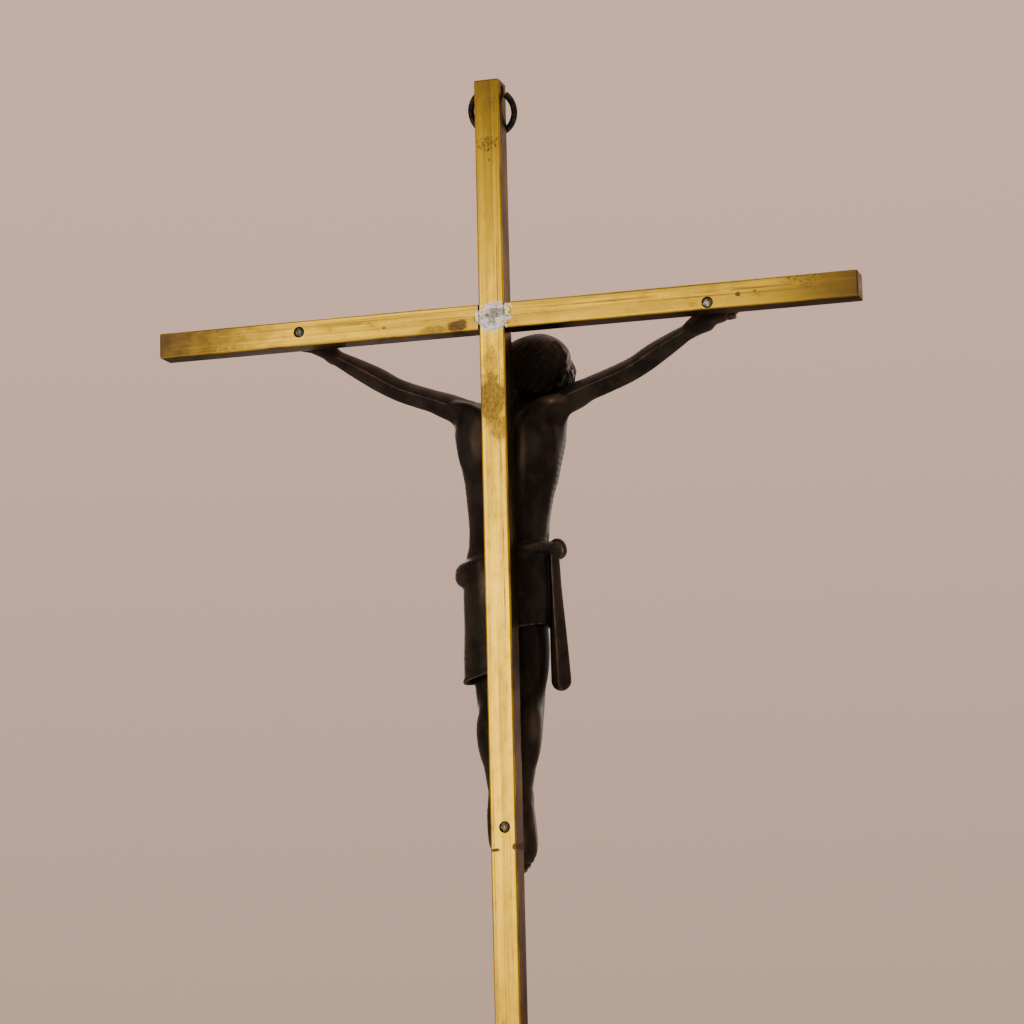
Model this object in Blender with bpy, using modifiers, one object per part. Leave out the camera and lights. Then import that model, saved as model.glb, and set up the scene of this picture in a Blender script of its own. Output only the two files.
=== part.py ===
"""Wall cross of square brass bar with a cast bronze figure and a hanging ring.

World frame in metres: +Z up, the front with the figure faces -Y, and the back faces of the bars
lie on the plane Y = 0. The origin is on that plane, on the upright's centre line, level with the
pivot of the hanging ring. Everything else is written in millimetres and scaled by MM.
"""

import math

import bmesh
import bpy
from mathutils import Matrix, Vector

MM = 0.001

# Bars
BAR = 8.0
EDGE_ROUND = 0.5
UPRIGHT_LENGTH = 390.0
CROSSBAR_LENGTH = 221.6
CROSSBAR_SHIFT = -1.6
CROSSING_BELOW_TOP = 74.7
PIVOT_BELOW_TOP = 3.0
JOINT_GAP = 0.3

# Pins through the hands and feet
PIN_RADIUS = 1.45
PIN_HOLE_RADIUS = 1.75
PIN_HEAD_RADIUS = 2.2
PIN_HEAD_HEIGHT = 1.1
LEFT_HAND_PIN = (62.4, 0.4)
RIGHT_HAND_PIN = (-67.1, -1.9)
FEET_PIN = (-0.5, -154.6)
HAND_SEAT = 3.9
FEET_SEAT = 9.9

# Hanging ring, a circle of round wire in a hole across the top of the upright
WIRE_RADIUS = 0.85
RING_RADIUS = 6.9
RING_DROP = 6.15
RING_HOLE_RADIUS = 1.72
RING_TILT = math.radians(25.0)
RING_CUT_END = math.radians(46.0)
RING_INNER_END = math.radians(110.0)

# Solder wiped over the back of the crossing
SOLDER_HALF_WIDTH = 6.1
SOLDER_HALF_HEIGHT = 3.8
SOLDER_CENTRE = (-0.7, -0.4)
SOLDER_DEPTH = 0.35
SOLDER_GAP = 0.12
SOLDER_POINTS = 28

# Surface of the cast figure
LIMB_SIDES = 20
VOXEL = 0.8
FIGURE_KEEP = 0.085
TOUCH_GAP = 0.3
FLUSH = 0.02

PIVOT_Z = 0.0
TOP_Z = PIVOT_Z + PIVOT_BELOW_TOP
CROSSING_Z = TOP_Z - CROSSING_BELOW_TOP
PIVOT_Y = -BAR / 2


def clear_scene():
    for obj in list(bpy.data.objects):
        bpy.data.objects.remove(obj, do_unlink=True)


def new_collection(name):
    collection = bpy.data.collections.new(name)
    bpy.context.scene.collection.children.link(collection)
    return collection


def new_material(name, color, metallic, roughness):
    material = bpy.data.materials.new(name)
    material.use_nodes = True
    shader = material.node_tree.nodes["Principled BSDF"]
    shader.inputs["Base Color"].default_value = (*color, 1.0)
    shader.inputs["Metallic"].default_value = metallic
    shader.inputs["Roughness"].default_value = roughness
    return material


def add_object(name, data, collection, material=None):
    obj = bpy.data.objects.new(name, data)
    collection.objects.link(obj)
    if material is not None:
        data.materials.append(material)
    return obj


def mesh_from(name, bm):
    mesh = bpy.data.meshes.new(name)
    bm.to_mesh(mesh)
    bm.free()
    return mesh


def box_mesh(name, size):
    """A box of the given size in mm, centred on the object's origin."""
    bm = bmesh.new()
    bmesh.ops.create_cube(bm, size=1.0, matrix=Matrix.Diagonal((*(Vector(size) * MM), 1.0)))
    return mesh_from(name, bm)


def cylinder_mesh(name, radius, length, segments=24):
    bm = bmesh.new()
    bmesh.ops.create_cone(bm, cap_ends=True, segments=segments, radius1=radius * MM,
                          radius2=radius * MM, depth=length * MM)
    return mesh_from(name, bm)


def place(obj, x, y, z):
    obj.location = Vector((x, y, z)) * MM
    return obj


def hide_guide(obj):
    obj.hide_render = True
    obj.display_type = "WIRE"
    return obj


def cut(obj, *cutters):
    for cutter in cutters:
        modifier = obj.modifiers.new("cut_" + cutter.name, "BOOLEAN")
        modifier.operation = "DIFFERENCE"
        modifier.object = cutter


def box_cutter(name, size, centre, guides):
    cutter = add_object(name, box_mesh(name, size), guides)
    return hide_guide(place(cutter, *centre))


def hole_cutter(name, radius, length, centre, along, guides):
    cutter = add_object(name, cylinder_mesh(name, radius, length), guides)
    cutter.rotation_euler = {"X": (0.0, math.pi / 2, 0.0), "Y": (math.pi / 2, 0.0, 0.0)}[along]
    return hide_guide(place(cutter, *centre))


def round_edges(obj):
    bevel = obj.modifiers.new("edge_round", "BEVEL")
    bevel.width = EDGE_ROUND * MM
    bevel.segments = 3
    bevel.limit_method = "ANGLE"


# ---------------------------------------------------------------- solder

def solder_outline(inset):
    """The uneven rim of the solder, as (x, z) in mm from the centre of the crossing."""
    points = []
    for step in range(SOLDER_POINTS):
        turn = math.tau * step / SOLDER_POINTS
        swell = 1.0 + 0.07 * math.sin(3 * turn + 0.6) + 0.05 * math.sin(5 * turn + 2.1)
        x = SOLDER_CENTRE[0] + (SOLDER_HALF_WIDTH * swell - inset) * math.cos(turn)
        z = SOLDER_CENTRE[1] + (SOLDER_HALF_HEIGHT * swell - inset) * math.sin(turn)
        points.append((x, z))
    return points


def solder_slab(name, inset, front, back, collection, material=None):
    """A flat slab with the solder's outline between two depths, back being the larger Y."""
    bm = bmesh.new()
    rim = [bm.verts.new((x * MM, front * MM, z * MM)) for x, z in solder_outline(inset)]
    face = bm.faces.new(rim)
    grown = bmesh.ops.extrude_face_region(bm, geom=[face])
    moved = [item for item in grown["geom"] if isinstance(item, bmesh.types.BMVert)]
    bmesh.ops.translate(bm, verts=moved, vec=(0.0, (back - front) * MM, 0.0))
    bmesh.ops.recalc_face_normals(bm, faces=bm.faces)
    obj = add_object(name, mesh_from(name, bm), collection, material)
    return place(obj, 0.0, 0.0, CROSSING_Z)


def solder_recess(guides):
    cutter = solder_slab("solder_recess", 0.0, -SOLDER_DEPTH, 1.0, guides)
    return hide_guide(cutter)


def crossing_solder(parts, solder):
    front = -SOLDER_DEPTH + SOLDER_GAP
    solder_slab("crossing_solder", SOLDER_GAP, front, -FLUSH, parts, solder)


# ---------------------------------------------------------------- bars

def upright_bar(parts, guides, brass, recess):
    bar = add_object("upright_bar", box_mesh("upright_bar", (BAR, BAR, UPRIGHT_LENGTH)), parts, brass)
    place(bar, 0.0, -BAR / 2, TOP_Z - UPRIGHT_LENGTH / 2)
    round_edges(bar)
    notch = BAR + 2 * JOINT_GAP
    lap = box_cutter("upright_lap", (BAR * 2, BAR, notch),
                     (0.0, -BAR + JOINT_GAP / 2, CROSSING_Z), guides)
    ring_hole = hole_cutter("ring_hole", RING_HOLE_RADIUS, BAR * 2,
                            (0.0, PIVOT_Y, PIVOT_Z), "X", guides)
    feet_hole = hole_cutter("feet_pin_hole", PIN_HOLE_RADIUS, BAR * 2,
                            (FEET_PIN[0], -BAR / 2, CROSSING_Z + FEET_PIN[1]), "Y", guides)
    cut(bar, lap, ring_hole, feet_hole, recess)


def crossbar(parts, guides, brass, recess):
    bar = add_object("crossbar", box_mesh("crossbar", (CROSSBAR_LENGTH, BAR, BAR)), parts, brass)
    place(bar, CROSSBAR_SHIFT, -BAR / 2, CROSSING_Z)
    round_edges(bar)
    notch = BAR + 2 * JOINT_GAP
    lap = box_cutter("crossbar_lap", (notch, BAR, BAR * 2), (0.0, -JOINT_GAP / 2, CROSSING_Z), guides)
    holes = []
    for name, (x, z) in (("left_pin_hole", LEFT_HAND_PIN), ("right_pin_hole", RIGHT_HAND_PIN)):
        centre = (x, -BAR / 2, CROSSING_Z + z)
        holes.append(hole_cutter(name, PIN_HOLE_RADIUS, BAR * 2, centre, "Y", guides))
    cut(bar, lap, *holes, recess)


# ---------------------------------------------------------------- ring

def ring_path():
    """Wire centre line in the ring's plane: x across, and drop below the pivot, in mm."""
    start = -RING_CUT_END
    end = math.pi + RING_INNER_END
    steps = 44
    points = []
    for step in range(steps + 1):
        turn = start + (end - start) * step / steps
        points.append((-RING_RADIUS * math.cos(turn), RING_DROP + RING_RADIUS * math.sin(turn)))
    return points


def hanging_ring(parts, steel):
    curve = bpy.data.curves.new("hanging_ring", "CURVE")
    curve.dimensions = "3D"
    curve.bevel_depth = WIRE_RADIUS * MM
    curve.bevel_resolution = 2
    curve.use_fill_caps = True
    path = ring_path()
    spline = curve.splines.new("POLY")
    spline.points.add(len(path) - 1)
    for point, (x, drop) in zip(spline.points, path):
        forward = -drop * math.sin(RING_TILT)
        down = -drop * math.cos(RING_TILT)
        point.co = (x * MM, forward * MM, down * MM, 1.0)
    ring = add_object("hanging_ring", curve, parts, steel)
    place(ring, 0.0, PIVOT_Y, PIVOT_Z)


# ---------------------------------------------------------------- pins

def pin(name, at, seat, parts, material):
    """A domed pin driven from the front, its tail flush with the back of the bar."""
    head_top = BAR + seat + PIN_HEAD_HEIGHT
    profile = [
        (0.0, head_top),
        (PIN_HEAD_RADIUS * 0.5, head_top - 0.15),
        (PIN_HEAD_RADIUS * 0.87, head_top - 0.5),
        (PIN_HEAD_RADIUS, head_top - 0.9),
        (PIN_HEAD_RADIUS, BAR + seat + 0.1),
        (PIN_RADIUS, BAR + seat + 0.1),
        (PIN_RADIUS, 0.3),
        (PIN_RADIUS * 0.75, 0.1),
        (0.0, FLUSH),
    ]
    mesh = bpy.data.meshes.new(name)
    edges = [(i, i + 1) for i in range(len(profile) - 1)]
    mesh.from_pydata([(r * MM, 0.0, h * MM) for r, h in profile], edges, [])
    obj = add_object(name, mesh, parts, material)
    screw = obj.modifiers.new("turn", "SCREW")
    screw.axis = "Z"
    screw.steps = 24
    screw.render_steps = 24
    screw.use_merge_vertices = True
    screw.merge_threshold = 0.00001
    obj.rotation_euler = (math.pi / 2, 0.0, 0.0)
    place(obj, at[0], 0.0, CROSSING_Z + at[1])


def pin_clearance(name, at, seat, guides):
    """The room a pin needs in the figure: a hole for its shank and a flat seat for its head."""
    reach = 14.0
    shank = hole_cutter(name + "_shank", PIN_HOLE_RADIUS, reach * 2,
                        (at[0], -BAR - seat, CROSSING_Z + at[1]), "Y", guides)
    head = hole_cutter(name + "_head", PIN_HEAD_RADIUS + TOUCH_GAP, reach,
                       (at[0], -BAR - seat - reach / 2, CROSSING_Z + at[1]), "Y", guides)
    return [shank, head]


# ---------------------------------------------------------------- figure

def smooth_stations(stations, per_span=4):
    """Catmull-Rom through rows of equal length, which hold a centre and half sizes."""
    rows = [Vector(row) for row in stations]
    ends = [rows[0] * 2 - rows[1], *rows, rows[-1] * 2 - rows[-2]]
    result = []
    for before, start, end, after in zip(ends, ends[1:], ends[2:], ends[3:]):
        for step in range(per_span):
            t = step / per_span
            result.append(0.5 * (2 * start + (end - before) * t
                                 + (2 * before - 5 * start + 4 * end - after) * t ** 2
                                 + (3 * start - before - 3 * end + after) * t ** 3))
    return [*result, rows[-1]]


def dome_rows(tip, inner):
    """Rows that close one end of a limb in a dome."""
    centre = Vector(tip[:3])
    outward = (centre - Vector(inner[:3])).normalized()
    reach = min(tip[3], tip[4])
    rows = []
    for turn in (0.35, 0.75, 1.15, 1.45):
        place_now = centre + outward * reach * math.sin(turn)
        rows.append(Vector((*place_now, tip[3] * math.cos(turn), tip[4] * math.cos(turn))))
    return rows


def add_limb(bm, stations, side, flat_end=False):
    """Skin oval sections into bm. A station is x, front, up, half width along side, half depth."""
    rows = smooth_stations(stations)
    start_dome = dome_rows(rows[0], rows[1])
    end_dome = [] if flat_end else dome_rows(rows[-1], rows[-2])
    rows = [*reversed(start_dome), *rows, *end_dome]
    rings = []
    for index, row in enumerate(rows):
        after = Vector(rows[min(index + 1, len(rows) - 1)][:3])
        before = Vector(rows[max(index - 1, 0)][:3])
        along = (after - before).normalized()
        wide = (Vector(side) - along * along.dot(Vector(side))).normalized()
        deep = along.cross(wide)
        ring = []
        for step in range(LIMB_SIDES):
            turn = math.tau * step / LIMB_SIDES
            offset = wide * row[3] * math.cos(turn) + deep * row[4] * math.sin(turn)
            ring.append(bm.verts.new((Vector(row[:3]) + offset) * MM))
        rings.append(ring)
    for lower, upper in zip(rings, rings[1:]):
        for step in range(LIMB_SIDES):
            turned = (step + 1) % LIMB_SIDES
            bm.faces.new((lower[step], lower[turned], upper[turned], upper[step]))
    bm.faces.new(list(reversed(rings[0])))
    bm.faces.new(rings[-1])


def add_ball(bm, centre, radii, lean_forward=0.0, lean_right=0.0):
    turn = Matrix.Rotation(lean_forward, 4, "X") @ Matrix.Rotation(lean_right, 4, "Y")
    size = Matrix.Diagonal((*(Vector(radii) * MM), 1.0))
    bmesh.ops.create_uvsphere(bm, u_segments=24, v_segments=14, radius=1.0,
                              matrix=Matrix.Translation(Vector(centre) * MM) @ turn @ size)


ACROSS = (1.0, 0.0, 0.0)
UPWARD = (0.0, 0.0, 1.0)


def add_torso(bm):
    add_limb(bm, [
        (-0.3, 10.5, -29.5, 17.4, 6.0),
        (-0.3, 10.0, -36.0, 17.2, 7.6),
        (0.0, 9.6, -44.0, 15.6, 7.8),
        (0.6, 9.0, -54.0, 13.8, 7.0),
        (1.1, 9.0, -64.0, 12.6, 6.8),
        (1.5, 9.4, -73.0, 13.0, 7.4),
        (1.8, 9.8, -84.0, 13.4, 7.6),
    ], ACROSS)


def add_arm(bm, shoulder, elbow, wrist, thickness):
    start = (math.copysign(6.0, wrist[0]), 10.0, -31.0, 6.4, 5.8)
    mid = [(a + b) / 2 for a, b in zip(elbow, wrist)]
    add_limb(bm, [
        start,
        (*shoulder, thickness * 1.1, thickness * 1.1),
        (*elbow, thickness, thickness * 0.95),
        (*mid, thickness * 0.97, thickness * 0.9),
        (*wrist, thickness * 0.66, thickness * 0.6),
    ], UPWARD)


def add_hand(bm, wrist, pin_at, heel_drop):
    out = math.copysign(1.0, pin_at[0])
    add_limb(bm, [
        (wrist[0], wrist[1], wrist[2], 2.3, 1.9),
        (pin_at[0] - out * 2.0, 2.2, pin_at[1] - 1.2, 3.9, 2.0),
        (pin_at[0] + out * 1.6, 2.0, pin_at[1] - 0.4, 3.7, 1.9),
        (pin_at[0] + out * 5.0, 2.2, pin_at[1] - 0.9, 2.5, 1.6),
    ], UPWARD)
    add_limb(bm, [
        (pin_at[0] - out * 5.5, 2.9, pin_at[1] - heel_drop, 2.0, 1.6),
        (pin_at[0] - out * 2.5, 3.2, pin_at[1] - heel_drop + 0.4, 1.8, 1.4),
    ], UPWARD)


def add_head(bm):
    add_limb(bm, [(-1.5, 12.5, -30.0, 5.2, 5.0), (-5.0, 15.0, -22.0, 4.8, 4.8)], ACROSS)
    lean_forward = math.radians(28)
    lean_right = math.radians(-28)
    add_ball(bm, (-7.8, 14.4, -12.8), (10.4, 10.0, 10.0), lean_forward, lean_right)
    add_ball(bm, (-12.0, 17.4, -16.4), (8.2, 7.2, 9.4), lean_forward, lean_right)


def add_leg(bm, hip, knee, ankle, toe, girth, foot_depth):
    calf = [k + (a - k) * 0.32 for k, a in zip(knee, ankle)]
    calf[1] -= 0.8
    thigh = [(h + k) / 2 for h, k in zip(hip, knee)]
    thigh[1] += 0.6
    add_limb(bm, [
        (*hip, 7.0 * girth, 7.2),
        (*thigh, 5.9 * girth, 6.4),
        (*knee, 5.0 * girth, 5.3),
        (*calf, 4.9 * girth, 5.0),
        (*ankle, 3.0, 3.5),
    ], ACROSS)
    heel = (ankle[0] + 0.2 * (toe[0] - ankle[0]), ankle[1] - 0.9, ankle[2] - 4.5)
    ball = [heel[i] + (toe[i] - heel[i]) * 0.6 for i in range(3)]
    add_limb(bm, [
        (*ankle, 2.9, 3.2),
        (*heel, 3.3, 3.6),
        (*ball, 4.0, foot_depth),
        (*toe, 2.5, 1.7),
    ], ACROSS)


def add_foot_web(bm):
    """The cast metal between the feet, which the pin clamps against the bar."""
    add_limb(bm, [
        (FEET_PIN[0], 3.2, FEET_PIN[1] + 5.6, 3.0, 2.6),
        (FEET_PIN[0], 3.2, FEET_PIN[1] - 5.6, 3.0, 2.6),
    ], ACROSS)


def add_loincloth(bm):
    add_limb(bm, [
        (1.4, 9.6, -77.0, 14.4, 8.4),
        (1.8, 10.0, -85.0, 14.7, 8.8),
        (2.2, 10.8, -94.0, 13.6, 8.6),
    ], ACROSS)
    add_limb(bm, [
        (9.6, 10.4, -88.0, 7.4, 8.6),
        (9.9, 10.8, -108.4, 6.9, 8.0),
    ], ACROSS, flat_end=True)
    add_ball(bm, (9.5, 10.4, -76.8), (9.4, 8.8, 4.4))
    add_limb(bm, [
        (-3.0, 2.9, -71.5, 2.2, 2.0),
        (-9.0, 4.0, -70.3, 2.3, 2.2),
        (-14.0, 8.0, -69.9, 2.7, 2.5),
        (-13.8, 12.0, -70.2, 2.7, 2.6),
    ], UPWARD)
    add_limb(bm, [
        (-13.2, 8.4, -72.0, 1.9, 3.0),
        (-13.6, 8.6, -92.0, 2.5, 3.2),
        (-14.4, 8.8, -110.8, 3.2, 3.2),
    ], ACROSS)


def figure_cage():
    """All the limbs of the figure as overlapping closed skins, in mm from the crossing."""
    bm = bmesh.new()
    add_torso(bm)
    right_wrist = (-59.0, 4.2, -7.0)
    left_wrist = (55.5, 4.2, -5.4)
    add_arm(bm, (-20.0, 9.0, -23.6), (-38.5, 7.2, -17.4), right_wrist, 3.7)
    add_arm(bm, (19.0, 9.0, -23.6), (34.5, 7.2, -17.6), left_wrist, 3.5)
    add_hand(bm, right_wrist, RIGHT_HAND_PIN, 4.9)
    add_hand(bm, left_wrist, LEFT_HAND_PIN, 3.4)
    add_head(bm)
    add_leg(bm, (-3.4, 10.2, -88.0), (-3.1, 12.2, -117.0), (-1.7, 7.4, -144.5),
            (-2.6, 8.2, -165.8), 0.96, 3.3)
    add_leg(bm, (8.2, 10.4, -88.0), (7.9, 12.4, -119.0), (4.9, 4.5, -145.5),
            (3.9, 3.3, -163.5), 1.08, 2.7)
    add_foot_web(bm)
    add_loincloth(bm)
    bmesh.ops.scale(bm, vec=(1.0, -1.0, 1.0), verts=bm.verts)
    bmesh.ops.recalc_face_normals(bm, faces=bm.faces)
    return mesh_from("corpus", bm)


def corpus(parts, guides, bronze, clearances):
    """The one-piece casting: limbs fused by a voxel skin, then fitted to the bars and pins."""
    figure = add_object("corpus", figure_cage(), parts, bronze)
    place(figure, 0.0, -BAR, CROSSING_Z)
    skin = figure.modifiers.new("fuse", "REMESH")
    skin.mode = "VOXEL"
    skin.voxel_size = VOXEL * MM
    soften = figure.modifiers.new("soften", "SMOOTH")
    soften.factor = 0.5
    soften.iterations = 5
    thin_out = figure.modifiers.new("thin_out", "DECIMATE")
    thin_out.ratio = FIGURE_KEEP
    reach = 40.0
    bars = box_cutter("bar_clearance", (CROSSBAR_LENGTH, reach, UPRIGHT_LENGTH),
                      (0.0, -BAR - TOUCH_GAP + reach / 2, CROSSING_Z), guides)
    cut(figure, bars, *clearances)
    return figure


def main():
    clear_scene()
    parts = new_collection("wall_cross")
    guides = new_collection("cutters")
    brass = new_material("brass", (0.62, 0.42, 0.13), 1.0, 0.32)
    bronze = new_material("dark_bronze", (0.07, 0.045, 0.032), 1.0, 0.42)
    steel = new_material("black_wire", (0.03, 0.03, 0.03), 0.8, 0.5)
    solder = new_material("solder", (0.62, 0.61, 0.58), 1.0, 0.5)
    iron = new_material("pin_metal", (0.3, 0.25, 0.2), 1.0, 0.5)

    recess = solder_recess(guides)
    upright_bar(parts, guides, brass, recess)
    crossbar(parts, guides, brass, recess)
    crossing_solder(parts, solder)
    hanging_ring(parts, steel)
    pins = (
        ("nail_left_hand", LEFT_HAND_PIN, HAND_SEAT),
        ("nail_right_hand", RIGHT_HAND_PIN, HAND_SEAT),
        ("nail_feet", FEET_PIN, FEET_SEAT),
    )
    clearances = []
    for name, at, seat in pins:
        pin(name, at, seat, parts, iron)
        clearances += pin_clearance(name, at, seat, guides)
    corpus(parts, guides, bronze, clearances)


main()
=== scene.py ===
"""Looks of the wall cross: worn brass bars, dark cast figure, solder, pins and wire ring.

The frame gives metres with +Z up and the front facing -Y. Figure shapes are written in
millimetres as (x, front, up): front is counted forward from the bars' front faces, and up from
the middle of the crossbar.
"""

import math

import bpy
import numpy as np
from mathutils import Euler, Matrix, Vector, noise


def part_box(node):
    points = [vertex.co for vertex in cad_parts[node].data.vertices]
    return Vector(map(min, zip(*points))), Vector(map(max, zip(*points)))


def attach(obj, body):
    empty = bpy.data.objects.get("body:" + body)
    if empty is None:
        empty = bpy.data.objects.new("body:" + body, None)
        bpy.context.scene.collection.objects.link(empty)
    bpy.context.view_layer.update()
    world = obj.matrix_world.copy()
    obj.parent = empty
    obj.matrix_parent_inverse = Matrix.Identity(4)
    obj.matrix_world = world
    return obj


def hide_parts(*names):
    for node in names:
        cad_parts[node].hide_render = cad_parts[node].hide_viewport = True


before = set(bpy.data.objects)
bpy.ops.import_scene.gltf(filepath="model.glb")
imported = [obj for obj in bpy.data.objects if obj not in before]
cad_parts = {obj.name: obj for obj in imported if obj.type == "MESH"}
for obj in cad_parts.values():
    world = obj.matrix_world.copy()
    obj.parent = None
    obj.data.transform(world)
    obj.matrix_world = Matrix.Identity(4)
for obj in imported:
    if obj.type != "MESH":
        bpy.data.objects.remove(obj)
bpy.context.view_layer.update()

MM = 0.001
UPRIGHT_LOW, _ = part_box("upright_bar")
CROSSBAR_LOW, CROSSBAR_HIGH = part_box("crossbar")
CROSSING_UP = (CROSSBAR_LOW[2] + CROSSBAR_HIGH[2]) / 2 / MM
FRONT_Y = CROSSBAR_LOW[1] / MM
BAR = (CROSSBAR_HIGH[2] - CROSSBAR_LOW[2]) / MM

# pin places in mm (x, up), and how far their heads sit in front of the bars
LEFT_PIN = (62.4, 0.4)
RIGHT_PIN = (-67.1, -1.9)
FEET_PIN = (-0.5, -154.6)
HAND_SEAT = 3.9
FEET_SEAT = 9.9

FIGURE_STEP = 0.29


def new_object(name, data):
    made = bpy.data.objects.new(name, data)
    bpy.context.scene.collection.objects.link(made)
    return made


def add_camera():
    data = bpy.data.cameras.new("camera")
    data.lens = 100.27
    data.sensor_width = 36.0
    camera = new_object("camera", data)
    camera.location = Vector((-245.653, 809.274, -268.576)) * MM
    camera.rotation_euler = Euler([math.radians(angle) for angle in (99.163, 1.354, -163.227)])
    bpy.context.scene.camera = camera


# ---- clay

FAR = 50.0


def smooth_min(a, b, blend):
    """The lesser of two distances, rounded off over blend mm where they meet."""
    closeness = np.maximum(blend - np.abs(a - b), 0.0) / blend
    return np.minimum(a, b) - closeness * closeness * blend / 4


class Shape:
    """A distance function in mm with the box that its surface lies in."""

    def __init__(self, distance, low, high):
        self.distance = distance
        self.low = np.array(low, dtype=float)
        self.high = np.array(high, dtype=float)


def box_of(shapes):
    return (np.min([shape.low for shape in shapes], axis=0),
            np.max([shape.high for shape in shapes], axis=0))


class Clay:
    """A solid held as distances on a grid, built up and cut away shape by shape."""

    def __init__(self, low, high, step):
        self.low = np.array(low, dtype=float)
        self.step = step
        counts = np.ceil((np.array(high) - self.low) / step).astype(int) + 1
        self.field = np.full(tuple(counts), FAR, np.float32)

    def window(self, low, high):
        first = np.floor((low - self.low) / self.step).astype(int)
        last = np.ceil((high - self.low) / self.step).astype(int) + 1
        return tuple(slice(max(0, a), max(0, min(n, b)))
                     for a, b, n in zip(first, last, self.field.shape))

    def points(self, window):
        axes = [(low + self.step * np.arange(part.start, part.stop)).astype(np.float32)
                for low, part in zip(self.low, window)]
        return np.stack(np.meshgrid(*axes, indexing="ij"), axis=-1)

    def measure(self, shapes, margin):
        low, high = box_of(shapes)
        whole = self.window(low - margin, high + margin)
        result = np.full([part.stop - part.start for part in whole], FAR, np.float32)
        for shape in shapes:
            inner = self.window(shape.low - margin, shape.high + margin)
            if any(part.stop <= part.start for part in inner):
                continue
            local = tuple(slice(i.start - w.start, i.stop - w.start) for i, w in zip(inner, whole))
            found = shape.distance(self.points(inner))
            result[local] = np.minimum(result[local], found)
        return whole, result

    def add(self, shapes, blend, margin=0.0):
        whole, found = self.measure(shapes, max(margin, blend + 3 * self.step))
        self.field[whole] = smooth_min(self.field[whole], found, blend)

    def carve(self, shapes, blend):
        whole, found = self.measure(shapes, blend + 3 * self.step)
        self.field[whole] = -smooth_min(-self.field[whole], found, blend)

    def sample(self, at):
        """Distances at any points, by trilinear interpolation."""
        grid = (at - self.low) / self.step
        grid = np.clip(grid, 0, np.array(self.field.shape) - 1.001)
        base = np.floor(grid).astype(int)
        t = grid - base
        total = np.zeros(len(at))
        for corner in range(8):
            bits = np.array([corner >> 2 & 1, corner >> 1 & 1, corner & 1])
            weight = np.prod(np.where(bits, t, 1 - t), axis=1)
            i, j, k = (base + bits).T
            total += weight * self.field[i, j, k]
        return total

    def slope(self, at):
        """Unit gradient, taken over one step each way."""
        slope = np.stack([self.sample(at + offset) - self.sample(at - offset)
                          for offset in self.step * AXES], axis=1)
        return slope / np.maximum(np.linalg.norm(slope, axis=1, keepdims=True), 1e-9)


def stretch(array, axis, start, stop):
    """A stretch of a grid along one of its axes."""
    picked = [slice(None)] * 3
    picked[axis] = slice(start, stop)
    return array[tuple(picked)]


def untangle(clay):
    """Fills an empty corner wherever solid and empty alternate round a grid face, so that the
    skin never touches itself."""
    steps = np.eye(3, dtype=int)
    for _ in range(8):
        solid = clay.field < 0
        crossed = []
        for one, two in ((0, 1), (0, 2), (1, 2)):
            across_one = np.diff(solid, axis=one)
            across_two = np.diff(solid, axis=two)
            alternating = (stretch(across_one, two, None, -1) & stretch(across_one, two, 1, None)
                           & stretch(across_two, one, None, -1))
            crossed += [(place, steps[one], steps[two]) for place in np.argwhere(alternating)]
        for place, one, two in crossed:
            corners = [tuple(corner) for corner in (place, place + one, place + two, place + one + two)]
            empty = [corner for corner in corners if clay.field[corner] >= 0]
            if len(empty) == 2:
                clay.field[min(empty, key=lambda corner: clay.field[corner])] = -0.05 * clay.step
        if not crossed:
            break


def net_surface(clay):
    """A quad skin on the zero level: one point in each cell that the surface crosses."""
    field = clay.field
    stride = np.array([field.shape[1] * field.shape[2], field.shape[2], 1])
    cells, places, quads = [], [], []
    for axis in range(3):
        lower = stretch(field, axis, None, -1)
        upper = stretch(field, axis, 1, None)
        index = np.argwhere((lower < 0) != (upper < 0))
        inside = lower[tuple(index.T)]
        outside = upper[tuple(index.T)]
        place = index.astype(float)
        place[:, axis] += inside / (inside - outside)
        home = index @ stride
        step_u = stride[(axis + 1) % 3]
        step_v = stride[(axis + 2) % 3]
        ring = np.stack([home - step_u - step_v, home - step_v, home, home - step_u], axis=1)
        ring[inside > 0] = ring[inside > 0][:, ::-1]
        quads.append(ring)
        cells.append(ring.ravel())
        places.append(np.repeat(place, 4, axis=0))
    cells = np.concatenate(cells)
    places = np.concatenate(places)
    quads = np.concatenate(quads)
    _, names, counts = np.unique(cells, return_inverse=True, return_counts=True)
    names = names.ravel()
    points = np.stack([np.bincount(names, weights=places[:, i]) for i in range(3)], axis=1)
    points /= counts[:, None]
    return clay.low + points * clay.step, names.reshape(-1, 4)


def ends_of(quads):
    """Both ends of every side of every quad."""
    return np.concatenate([quads[:, [i, (i + 1) % 4]] for i in range(4)])


def largest_body(points, quads):
    """Drops any stray bubble that is not joined to the rest of the skin."""
    ends = ends_of(quads)
    label = np.arange(len(points))
    while True:
        least = label.copy()
        np.minimum.at(least, ends[:, 0], label[ends[:, 1]])
        least = least[least]
        if (least == label).all():
            break
        label = least
    kept = label == np.bincount(label).argmax()
    number = np.cumsum(kept) - 1
    return points[kept], number[quads[kept[quads[:, 0]]]]


def relax(points, quads, rounds):
    """Even out the quads by averaging each point with its neighbours."""
    ends = ends_of(quads)
    counts = np.bincount(ends[:, 0], minlength=len(points))[:, None]
    for _ in range(rounds):
        mean = np.stack([np.bincount(ends[:, 0], weights=points[ends[:, 1], i],
                                     minlength=len(points)) for i in range(3)], axis=1)
        points = 0.5 * points + 0.5 * mean / counts
    return points


# ---- shapes

AXES = np.eye(3)
X, _, U = AXES


def unit(vector):
    vector = np.array(vector, dtype=float)
    return vector / np.linalg.norm(vector)


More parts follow.
